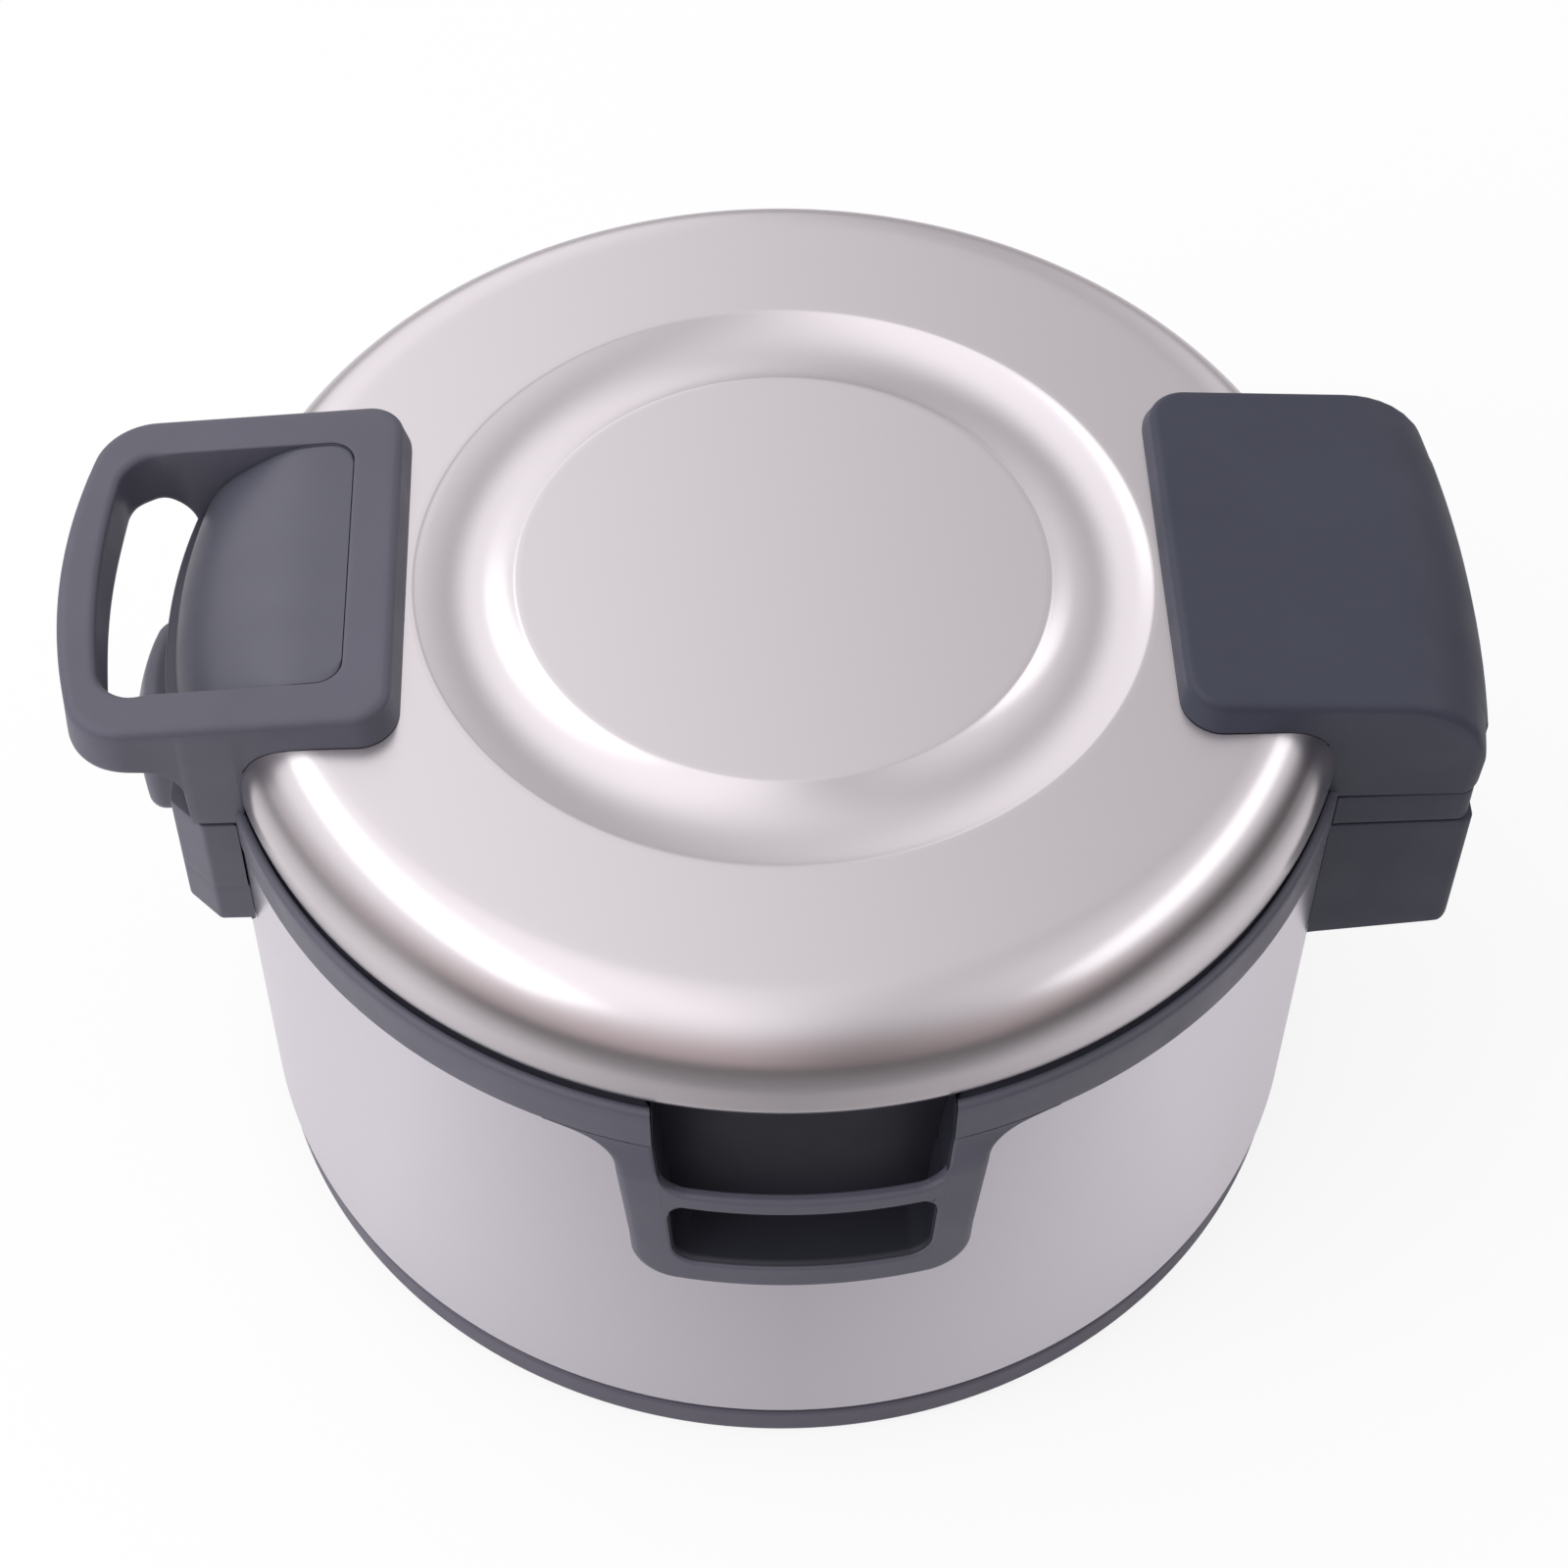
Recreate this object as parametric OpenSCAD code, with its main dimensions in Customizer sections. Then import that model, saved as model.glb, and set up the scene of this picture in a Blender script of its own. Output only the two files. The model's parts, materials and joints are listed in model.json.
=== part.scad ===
// Electric rice warmer: round insulated body, lift-out pot, hinged steel lid with a grip handle.
// Millimetres. Z up, origin on the body axis at the plane the feet rest on.
// The lid handle and latch face -X, the lid hinge +X, the carry handles -Y and +Y.

/* [Lid] */
// Outside diameter of the steel lid at its lower edge
lid_d = 400; // [370:1:430]
// Lid height from the lower edge to the top plane
lid_h = 35; // [30:1:45]
// Thickness of the lid sheet
lid_sheet = 1.2; // [0.8:0.1:2]
// Radius of the shoulder between top and skirt
shoulder_r = 26; // [18:1:28]
// Diameter of the raised disc in the middle of the lid
disc_d = 187; // [150:1:210]
// Width of the pressed ring groove round the disc
groove_w = 35; // [25:1:40]
// Depth of the pressed ring groove
groove_depth = 4.6; // [2:0.1:6]
// Gap between the collar's top and the lid's lower edge
lid_gap = 5.3; // [4.5:0.1:8]

/* [Body] */
// How far the body shell stands outside the lid
shell_step = 2.8; // [1:0.1:6]
// Thickness of the body shell sheet
shell_sheet = 1; // [0.6:0.1:2]
// Height of the body shell
shell_h = 175; // [160:1:200]
// Height of the collar ring above the shell
collar_h = 19; // [16:0.5:24]
// Height of the base ring
base_h = 11; // [9:0.5:16]
// Height of the shadow gap between base ring and shell
base_gap = 6; // [3:0.5:8]
// Height of the rubber feet
foot_h = 4; // [3:0.5:8]
// Diameter of the rubber feet
foot_d = 30; // [20:1:40]

/* [Pot] */
// From the lid's edge in to the pot, room for heater, wool and the carry pockets
body_wall = 37; // [35:0.5:50]
// Wall of the lift-out pot
pot_wall = 2; // [1:0.1:3]
// Radius of the pot's lower corner
pot_corner = 12; // [8:1:14]
// Air gap between pot and heating chamber
pot_gap = 5; // [3:0.5:5.5]

/* [Lid handle] */
// How far the handle reaches out past the lid's edge
handle_overhang = 51; // [45:0.1:56]
// How far the handle reaches in over the lid from its edge
handle_inset = 69; // [60:1:78]
// Width of the handle
handle_w = 146; // [136:1:154]
// How far the rolled panel falls below the lid's top
panel_fall = 27; // [22:0.5:30]
// Free room beside the latch's two arms
arm_room = 8; // [5:0.5:12]
// Width of the handle's side bars
handle_bar = 17.7; // [14:0.1:20]
// Height of the handle's inner end over the lid
handle_rise = 12.8; // [10:0.1:16]
// Fall of the handle's top per millimetre outwards
handle_slope = 0.07; // [0.03:0.01:0.1]
// Depth of the grip bar
grip_depth = 21.5; // [17:0.5:24]
// Thickness of the grip bar in plan
grip_bar = 14.5; // [12:0.5:17]

/* [Latch] */
// Height of the latch block
latch_block_h = 55; // [48:1:62]
// Thickness of the latch block in front of the shell
latch_block_t = 12.2; // [11.5:0.1:14]
// Width of the latch paddle
paddle_w = 55; // [44:1:64]
// Height of the latch paddle
paddle_h = 45; // [40:1:48]
// How far the paddle bulges in front of the block
paddle_bulge = 17; // [15:0.5:20]
// Radius of the latch pin
latch_pin_r = 2; // [1.5:0.1:2.4]

/* [Hinge] */
// How far the hinge cover reaches out past the lid's edge
hinge_overhang = 45.6; // [41:0.1:52]
// How far the hinge cover's back bows out in its middle
hinge_bow = 6; // [3:0.5:8]
// How far the hinge cover reaches in over the lid from its edge
hinge_inset = 68; // [60:1:76]
// Width of the hinge cover
hinge_w = 146; // [136:1:154]
// Height of the hinge cover's inner end over the lid
hinge_rise = 10.7; // [9:0.1:14]
// Radius of the hinge cover's rear top corner
hinge_round = 34; // [24:1:36]
// Radius of the knuckles round the hinge pin
knuckle_r = 9; // [8:0.1:9.5]
// Radius of the hinge pin
hinge_pin_r = 3; // [2:0.1:4]
// Corner radius of the hinge cover over the lid
hinge_corner = 14; // [10:1:18]
// Corner radius of the hinge cover at its back
hinge_heel = 7; // [5:0.5:9]
// Height of the block under the hinge
hinge_block_h = 63; // [54:1:70]

/* [Carry handles] */
// Width of a carry handle at its waist
carry_w = 124; // [112:1:132]
// How far a carry handle stands out of the shell
carry_proud = 4.2; // [3.5:0.1:6]
// Height of a carry handle below the collar
carry_h = 76; // [70:1:84]
// Height of the lower finger slot
carry_slot_h = 33.5; // [28:0.5:38]
// Height of the bar above the finger slot
carry_bar_h = 8.4; // [7:0.1:11]
// Depth of the pocket behind a carry handle
carry_depth = 21.5; // [16:0.5:22]

/* [Switch and inlet] */
// Height of the switch panel's middle over the feet
switch_z = 92; // [85:1:100]
// Height of the power inlet's middle over the feet
inlet_z = 58; // [50:1:66]
// Depth of the switch panel's well behind the shell
switch_depth = 16; // [13:0.5:18]
// Tilt of the power rocker at rest
rocker_tilt = 6; // [4:0.5:8]

/* [Fits] */
// Gap between pieces that are screwed or clipped together
seat = 0.2; // [0.1:0.05:0.3]
// Gap between pieces that move past each other
play = 0.4; // [0.3:0.05:0.6]
// Radial clearance of a pin in its hole
pin_fit = 0.05; // [0.02:0.01:0.1]
// Wall of the plastic mouldings
wall = 3; // [2:0.1:3.5]

/* [Hidden] */
$fn = 96;
bite = 1;
far = 400;
arc_steps = 10;

lid_r = lid_d / 2;
shell_r = lid_r + shell_step;
collar_r = shell_r + 0.4;
base_r = shell_r - 1.4;
neck_r = shell_r - 6;

base_z1 = foot_h + base_h;
shell_z0 = base_z1 + base_gap;
shell_z1 = shell_z0 + shell_h;
collar_z1 = shell_z1 + collar_h;
lid_z0 = collar_z1 + lid_gap;
lid_z1 = lid_z0 + lid_h;

deck_z1 = collar_z1 - wall;
deck_z0 = deck_z1 - wall;
chamber_sheet = 1.2;
chamber_z1 = deck_z0 - seat;
pot_r = lid_r - body_wall;
pot_rim_w = 9;
pot_rim_r = pot_r + pot_rim_w;
pot_rim_z0 = chamber_z1 + seat;
pot_z1 = pot_rim_z0 + pot_wall;
chamber_r = pot_r + pot_gap;
chamber_z0 = shell_z0 + 8;
pot_z0 = chamber_z0 + chamber_sheet + 1.5;
pot_seam_z = pot_z0 + pot_corner;
deck_r0 = pot_rim_r + 1.5;
chamber_rim_r = deck_r0 + 4;
band_r = chamber_r + chamber_sheet + seat;
band_t = 1.4;
wool_r0 = band_r + band_t + seat;

under_z0 = lid_z0 - 3.1;
under_z1 = under_z0 + wall;
under_r = lid_r - 1;
under_r0 = pot_r - 13;
plate_z0 = under_z1 + seat;
plate_t = 1.5;
heat_z0 = plate_z0 + plate_t + seat;
heat_t = 1.2;
wool_z0 = heat_z0 + heat_t + seat;
wool_z1 = lid_z1 - groove_depth - lid_sheet - seat;
gasket_z0 = pot_z1 + play;
gasket_r0 = pot_r - 1.5;
gasket_r1 = pot_rim_r - 1;
inner_lid_z0 = gasket_z0 + 1.8;
inner_lid_t = 1.5;
knob_r = 15;
stud_r = 4;

handle_half = handle_w / 2;
handle_reach = lid_r + handle_overhang;
handle_inner = lid_r - handle_inset;
handle_z = lid_z1 + handle_rise;
panel_inset = 19;
panel_bend = 55;
tongue_r = lid_r + 17.3;
tongue_z0 = collar_z1 - 6;
block_z1 = tongue_z0 - 2;
block_z0 = block_z1 - latch_block_h;
block_face = shell_r + latch_block_t;
tongue_half = handle_half - 3.2;
block_half = tongue_half;
latch_x = block_face - 6.2;
latch_z = block_z1 - 25;
latch_boss_r = 4.4;
arm_half = 13;
hook_z = under_z0 + 1.2;
hook_top = hook_z + 2.6;
hook_space_z1 = lid_z0 + 8.5;
keeper_r = lid_r + 4.2;
hook_tip = keeper_r + play;
lever_half = 18;
pocket_half = lever_half + play;
pad_back = block_face + 3.4;
pad_z0 = block_z1 - paddle_h;

hinge_half = hinge_w / 2;
hinge_reach = lid_r + hinge_overhang;
hinge_inner = lid_r - hinge_inset;
split_z = collar_z1 - wall;
barrel_r = knuckle_r - 0.6;
barrel_half = hinge_half - 15.5;
bow_r = (pow(hinge_half, 2) + pow(hinge_bow, 2)) / (2 * hinge_bow);
bow_x = hinge_reach - bow_r;
heel_x = bow_x + sqrt(pow(bow_r, 2) - pow(barrel_half, 2));
pin_x = heel_x - knuckle_r;
pin_z = split_z + knuckle_r;
band_x1 = heel_x - 3;
band_z0 = shell_z1 - 1;
band_z1 = split_z - play;
hinge_block_z1 = band_z0 - seat;
hinge_block_z0 = hinge_block_z1 - hinge_block_h;
hinge_block_half = hinge_half - 1.5;
spring_len = 14;

carry_r = shell_r + carry_proud;
pocket_r = shell_r - carry_depth;
carry_half = carry_w / 2;
carry_top = shell_z1 - seat;
carry_z0 = carry_top - carry_h;
slot_z0 = carry_z0 + 13;
bar_z0 = slot_z0 + carry_slot_h;
bar_z1 = bar_z0 + carry_bar_h;
slot_half = carry_half - 17;
recess_half = carry_half - 13;
pocket_open = recess_half + 2;
pocket_box = pocket_open + wall;

panel_half_y = 26;
panel_half_z = 17;
panel_r = shell_r + 2.2;
rocker_x = shell_r - 4;
rocker_y0 = -18;
rocker_y1 = 2;
rocker_half = 8;
rocker_axle_r = 1.5;
lens_y = 13;
lens_r = 4.5;
inlet_half_y = 24;
inlet_half_z = 15;
socket_half_y = 12.5;
socket_half_z = 8.5;
socket_depth = 17;
pin_tail = 1.5;
pin_len = 12;
wool_r1 = min(pocket_r, shell_r - socket_depth - wall - pin_tail) - seat;

screw_r = 2;
carry_screw_r = 1.5;
screw_head_r = 4;
hatch_screw_len = 10;
lid_screw_y = handle_half - handle_bar / 2;
lid_screw_x = sqrt(pow(lid_r - shoulder_r - 5, 2) - pow(lid_screw_y, 2));
hatch_r = 0.475 * lid_r;
loom_r = 0.675 * lid_r;
block_y = 16;
foot_ring = 0.79 * lid_r;

// Unit vector along v
function unit(v) = v / norm(v);

// Points of an arc of radius r that rounds the corner p between its neighbours a and b
function corner(a, p, b, r) =
    r == 0 ? [p] :
    let (
        u = unit(a - p),
        w = unit(b - p),
        half = acos(max(-1, min(1, u * w))) / 2,
        centre = p + unit(u + w) * r / sin(half),
        from = p + u * r / tan(half) - centre,
        to = p + w * r / tan(half) - centre,
        start = atan2(from[1], from[0]),
        raw = atan2(to[1], to[0]) - start,
        sweep = raw > 180 ? raw - 360 : raw < -180 ? raw + 360 : raw
    )
    [for (i = [0:arc_steps])
        centre + r * [cos(start + sweep * i / arc_steps), sin(start + sweep * i / arc_steps)]];

// Outline through corners given as [x, y, rounding radius]
function rounded(corners) =
    let (n = len(corners))
    [for (i = [0:n - 1])
        let (a = corners[(i + n - 1) % n], p = corners[i], b = corners[(i + 1) % n])
        each corner([a[0], a[1]], [p[0], p[1]], [b[0], b[1]], p[2])];

// Slab of a sheet drawn in X and Z, running from -half to half along Y
module across(half) {
    rotate([90, 0, 0])
    linear_extrude(height = 2 * half, center = true)
    children();
}

// Round bar along Y through the point x, z
module bar_y(x, z, r, half) {
    translate([x, 0, z])
    rotate([90, 0, 0])
    cylinder(r = r, h = 2 * half, center = true);
}

// Box between two corners
module box(a, b) {
    translate(a)
    cube(b - a);
}

// Ring between two radii and two heights
module ring(r0, r1, z0, z1) {
    translate([0, 0, z0])
    difference() {
        cylinder(r = r1, h = z1 - z0);
        translate([0, 0, -bite])
        cylinder(r = r0, h = z1 - z0 + 2 * bite);
    }
}

// Plain column on the body axis
module column(r, z0, z1) {
    translate([0, 0, z0])
    cylinder(r = r, h = z1 - z0);
}

// The -X side drawn as if it were +X
module front() {
    mirror([1, 0, 0])
    children();
}

// One child at the -Y side and, for far_side, turned round to +Y
module carry_side(far_side) {
    rotate([0, 0, far_side ? 180 : 0])
    children();
}

// Half section of the solid lid, shrunk by inset; a negative inset grows it
module lid_half(inset) {
    r = lid_r - inset;
    z = lid_z1 - inset;
    fillet = shoulder_r - inset;
    groove_r = (pow(groove_w / 2, 2) + pow(groove_depth, 2)) / (2 * groove_depth);
    difference() {
        union() {
            translate([0, lid_z0 - 20])
            square([r - fillet, z - lid_z0 + 20]);
            translate([0, lid_z0 - 20])
            square([r, z - fillet - lid_z0 + 20]);
            translate([r - fillet, z - fillet])
            circle(r = fillet);
        }
        translate([disc_d / 2 + groove_w / 2, lid_z1 - groove_depth + groove_r])
        circle(r = groove_r + inset);
        translate([-far, lid_z0 - far])
        square([far, 2 * far]);
    }
}

// Everything under the lid's skin and collar, taken away from pieces that sit outside them
module inside_lid() {
    rotate_extrude()
    lid_half(-seat);
    column(collar_r + play, 0, collar_z1 + play);
}

// Pan that closes the body underneath and carries the feet
module base_pan() {
    spigot_r = shell_r - shell_sheet - seat;
    edge = 3;
    color([0.17, 0.17, 0.18])
    difference() {
        rotate_extrude()
        union() {
            translate([0, foot_h])
            square([base_r - edge, wall]);
            translate([base_r - 5, foot_h + edge])
            square([5, base_h - edge]);
            translate([base_r - edge, foot_h + edge])
            circle(r = edge);
            translate([neck_r - 4, base_z1 - wall])
            square([base_r - neck_r + 4, wall]);
            translate([neck_r - 4, base_z1 - wall])
            square([4, base_gap + wall + 12]);
            translate([neck_r - 4, shell_z0 + 2])
            square([spigot_r - neck_r + 4, 10]);
        }
        column(hatch_r - 10, foot_h - bite, foot_h + wall + bite);
        column(hatch_r + seat, foot_h - bite, foot_h + 1.4);
        feet_at()
        column(4 + seat, foot_h - bite, foot_h + wall + bite);
        hatch_screws_at()
        column(screw_r + seat, foot_h - bite, foot_h + wall + bite);
    }
}

module feet_at() {
    for (a = [45:90:315])
        rotate([0, 0, a])
        translate([foot_ring, 0, 0])
        children();
}

module hatch_screws_at() {
    for (a = [0:90:270])
        rotate([0, 0, a])
        translate([hatch_r - 5, 0, 0])
        children();
}

// Access plate in the pan with cooling slots
module bottom_hatch() {
    slot_w = 5;
    color([0.55, 0.56, 0.57])
    difference() {
        column(hatch_r, foot_h + 0.2, foot_h + 1.4 - seat);
        hatch_screws_at()
        column(screw_r + seat, 0, foot_h + 4);
        for (a = [0:30:330])
            rotate([0, 0, a])
            translate([0.4 * hatch_r, -slot_w / 2, 0])
            cube([0.36 * hatch_r, slot_w, shell_z0]);
    }
}

// Four rubber feet with studs that plug into the pan
module feet() {
    color([0.06, 0.06, 0.06])
    feet_at()
    union() {
        cylinder(r1 = foot_d / 2 - 1.5, r2 = foot_d / 2, h = foot_h - seat);
        column(4, foot_h - 2, foot_h + wall + 2);
    }
}

module hatch_screws() {
    color([0.6, 0.6, 0.6])
    hatch_screws_at()
    union() {
        column(screw_head_r, foot_h - 2, foot_h);
        column(screw_r, foot_h - 0.5, foot_h + hatch_screw_len);
    }
}

// Straight steel skin of the body with windows for handles, switch and inlet
module outer_shell() {
    color([0.62, 0.62, 0.63])
    difference() {
        ring(shell_r - shell_sheet, shell_r, shell_z0, shell_z1);
        for (far_side = [false, true])
            carry_side(far_side)
            box([-pocket_box - seat, -far, carry_z0 + 6], [pocket_box + seat, 0, far]);
        front()
        box([0, -panel_half_y + 3, switch_z - panel_half_z + 3],
            [far, panel_half_y - 3, switch_z + panel_half_z - 3]);
        box([0, -socket_half_y - wall - seat, inlet_z - socket_half_z - wall - seat],
            [far, socket_half_y + wall + seat, inlet_z + socket_half_z + wall + seat]);
        hinge_screws_at(screw_r + seat, far);
        for (far_side = [false, true])
            carry_side(far_side)
            carry_screws_at(carry_screw_r + seat);
    }
}

// Moulded ring round the pot's mouth, notched over each carry handle
module collar_ring() {
    edge = 2;
    spigot_r = shell_r - shell_sheet - seat;
    color([0.34, 0.34, 0.36])
    difference() {
        rotate_extrude()
        union() {
            translate([collar_r - wall, shell_z1])
            square([wall, collar_h - edge]);
            translate([collar_r - wall, collar_z1 - edge - 0.01])
            square([wall - edge, edge + 0.01]);
            translate([collar_r - edge, collar_z1 - edge])
            circle(r = edge);
            translate([deck_r0, deck_z0])
            square([collar_r - deck_r0 - 1, wall]);
            translate([chamber_rim_r + play, deck_z0 - 6])
            square([wall, 6 + 1]);
            translate([spigot_r - wall, shell_z1 - 8])
            square([wall, 8 + wall]);
        }
        for (far_side = [false, true])
            carry_side(far_side)
            box([-pocket_box - seat, -far, 0], [pocket_box + seat, -pocket_r + wall + 2, far]);
    }
}

// Outline of a carry handle in X and Z, wider at its shoulders
module carry_outline() {
    waist = carry_half - 0.5;
    foot = carry_half - 3;
    flare = carry_half + 21;
    shoulder = 14;
    polygon(concat(
        rounded([[-waist, carry_top - shoulder, 0], [-foot, carry_z0, 12],
            [foot, carry_z0, 12], [waist, carry_top - shoulder, 0]]),
        [for (i = [1:arc_steps])
            let (a = 90 * i / arc_steps)
            [waist + (flare - waist) * (1 - cos(a)), carry_top - shoulder + shoulder * sin(a)]],
        [for (i = [arc_steps:-1:1])
            let (a = 90 * i / arc_steps)
            [-waist - (flare - waist) * (1 - cos(a)), carry_top - shoulder + shoulder * sin(a)]]
    ));
}

// Finger slot below the bar and the open recess above it
module carry_cuts() {
    polygon(rounded([[-slot_half + 4, slot_z0, 7], [slot_half - 4, slot_z0, 7],
        [slot_half, bar_z0, 6], [-slot_half, bar_z0, 6]]));
    polygon(rounded([[-recess_half + 4, bar_z1, 6], [recess_half - 4, bar_z1, 6],
        [recess_half, carry_top + 30, 0], [-recess_half, carry_top + 30, 0]]));
}

// Moulded grip that follows the shell, with a cross bar over the finger slot
module carry_handle() {
    lip_r = shell_r + seat;
    difference() {
        intersection() {
            union() {
                ring(lip_r, carry_r, carry_z0 - bite, carry_top);
                ring(shell_r - 5, lip_r + bite, bar_z0, bar_z1);
            }
            translate([0, -far / 2, 0])
            across(far / 2)
            carry_outline();
            union() {
                ring(lip_r, carry_r, carry_z0 - bite, carry_top);
                translate([0, -far / 2, 0])
                across(far / 2)
                translate([-recess_half - 1, 0])
                square([2 * recess_half + 2, far]);
            }
        }
        translate([0, -far / 2, 0])
        across(far / 2)
        carry_cuts();
        intersection() {
            carry_screws_at(carry_screw_r + pin_fit);
            column(carry_r - 1.2, 0, far);
        }
    }
}

module carry_handle_near() {
    color([0.36, 0.36, 0.38])
    carry_side(false)
    carry_handle();
}

module carry_handle_far() {
    color([0.36, 0.36, 0.38])
    carry_side(true)
    carry_handle();
}

// Hand pocket that closes the window behind a carry handle
module carry_pocket() {
    outer_r = shell_r - shell_sheet - seat;
    difference() {
        intersection() {
            ring(pocket_r, outer_r, carry_z0 + 6 + seat, deck_z0 - seat);
            box([-pocket_box, -far, 0], [pocket_box, 0, far]);
        }
        intersection() {
            ring(pocket_r + wall, far, carry_z0 + 6 + seat + wall, far);
            box([-pocket_open, -far, 0], [pocket_open, 0, far]);
        }
    }
}

module carry_pocket_near() {
    color([0.12, 0.12, 0.13])
    carry_side(false)
    carry_pocket();
}

module carry_pocket_far() {
    color([0.12, 0.12, 0.13])
    carry_side(true)
    carry_pocket();
}

// Screw holes or shanks beside the pocket, driven from inside the shell
module carry_screws_at(r) {
    for (side = [-1, 1])
        translate([side * (pocket_box + 3), -carry_r + 1, carry_z0 + 40])
        rotate([90, 0, 0])
        cylinder(r = r, h = 3 * carry_depth, center = true);
}

module carry_screws() {
    color([0.6, 0.6, 0.6])
    for (far_side = [false, true])
        carry_side(far_side)
        union() {
            intersection() {
                carry_screws_at(carry_screw_r);
                ring(shell_r - 3, carry_r - 1.5, 0, far);
            }
            intersection() {
                carry_screws_at(carry_screw_r + 1.2);
                ring(shell_r - 4, shell_r - shell_sheet - seat, 0, far);
            }
        }
}

// Aluminium can that the pot stands in
module heating_chamber() {
    color([0.75, 0.75, 0.76])
    rotate_extrude()
    union() {
        translate([0, chamber_z0])
        square([chamber_r + chamber_sheet, chamber_sheet]);
        translate([chamber_r, chamber_z0])
        square([chamber_sheet, chamber_z1 - chamber_z0]);
        translate([chamber_r, chamber_z1 - chamber_sheet])
        square([chamber_rim_r - chamber_r, chamber_sheet]);
    }
}

// Half section of the lift-out pot with a rounded lower corner and a flat rim
module pot_section() {
    union() {
        difference() {
            pot_half(pot_r, pot_z0, pot_corner);
            pot_half(pot_r - pot_wall, pot_z0 + pot_wall, pot_corner - pot_wall);
            translate([0, pot_z1])
            square([far, far]);
        }
        translate([pot_r - pot_wall, pot_rim_z0])
        square([pot_rim_w + pot_wall, pot_wall]);
    }
}

// Wall of the pot, welded to its floor dish at the top of the corner
module inner_pot() {
    color([0.3, 0.3, 0.31])
    rotate_extrude()
    intersection() {
        pot_section();
        translate([0, pot_seam_z])
        square([far, far]);
    }
}

module pot_floor() {
    color([0.3, 0.3, 0.31])
    rotate_extrude()
    difference() {
        pot_section();
        translate([0, pot_seam_z])
        square([far, far]);
    }
}

module pot_half(r, z, fillet) {
    translate([0, z])
    square([r - fillet, far]);
    translate([0, z + fillet])
    square([r, far]);
    intersection() {
        translate([r - fillet, z + fillet])
        circle(r = fillet);
        translate([0, z - bite])
        square([far, far]);
    }
}

module side_heater() {
    color([0.7, 0.55, 0.3])
    ring(band_r, band_r + band_t, chamber_z0 + 0.22 * shell_h, chamber_z1 - 0.28 * shell_h);
}

module base_heater() {
    color([0.7, 0.55, 0.3])
    ring(0.43 * pot_r, 0.77 * pot_r, chamber_z0 - seat - wall, chamber_z0 - seat);
}

// Thermostat cup under the chamber with its two tabs
module thermostat() {
    color([0.2, 0.2, 0.2])
    union() {
        column(11, chamber_z0 - seat - 9, chamber_z0 - seat);
        box([-9, -2, chamber_z0 - seat - 15], [-7, 2, chamber_z0 - seat - 8]);
        box([7, -2, chamber_z0 - seat - 15], [9, 2, chamber_z0 - seat - 8]);
    }
}

module thermal_fuse() {
    color([0.8, 0.8, 0.78])
    translate([40, 0, chamber_z0 - seat - 2.5])
    rotate([90, 0, 0])
    cylinder(r = 2.5, h = 16, center = true);
}

module body_insulation() {
    color([0.85, 0.8, 0.6])
    ring(wool_r0, wool_r1, shell_z0 + 16, deck_z0 - 12);
}

module terminal_block() {
    color([0.9, 0.9, 0.85])
    difference() {
        box([loom_r - 10, -block_y, foot_h + wall], [loom_r + 10, block_y, foot_h + wall + 9]);
        for (y = [-10, 0, 10])
            translate([loom_r, y, foot_h + wall + 4])
            cylinder(r = 2.5, h = 10);
    }
}

// Wiring that runs round the pan from the terminal block to the switch side
module wire_loom() {
    wire_r = 2.8;
    start = asin((block_y + 1) / loom_r);
    color([0.7, 0.1, 0.1])
    translate([0, 0, foot_h + wall + 3])
    rotate([0, 0, start])
    rotate_extrude(angle = 165)
    translate([loom_r, 0])
    circle(r = wire_r);
}

// Recessed appliance inlet low on the hinge side
module power_inlet() {
    color([0.1, 0.1, 0.1])
    difference() {
        union() {
            intersection() {
                ring(shell_r + seat, shell_r + 2.6, 0, far);
                translate([0, 0, inlet_z])
                rotate([90, 0, 90])
                linear_extrude(height = far)
                polygon(rounded([[-inlet_half_y, -inlet_half_z, 5], [inlet_half_y, -inlet_half_z, 5],
                    [inlet_half_y, inlet_half_z, 5], [-inlet_half_y, inlet_half_z, 5]]));
            }
            intersection() {
                ring(shell_r - socket_depth - wall, shell_r + 1, 0, far);
                box([0, -socket_half_y - wall, inlet_z - socket_half_z - wall],
                    [far, socket_half_y + wall, inlet_z + socket_half_z + wall]);
            }
        }
        intersection() {
            ring(shell_r - socket_depth, far, 0, far);
            box([0, -socket_half_y, inlet_z - socket_half_z], [far, socket_half_y, inlet_z + socket_half_z]);
        }
        inlet_pins_at()
        translate([shell_r - socket_depth - wall - 5, -2 - seat, -1 - seat])
        cube([wall + 6, 4 + 2 * seat, 2 + 2 * seat]);
    }
}

module inlet_pins_at() {
    for (p = [[-7, 2], [7, 2], [0, -3]])
        translate([0, p[0], inlet_z + p[1]])
        children();
}

module inlet_pins() {
    color([0.8, 0.75, 0.5])
    inlet_pins_at()
    translate([shell_r - socket_depth - wall - pin_tail, -2, -1])
    cube([pin_tail + wall + pin_len, 4, 2]);
}

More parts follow.
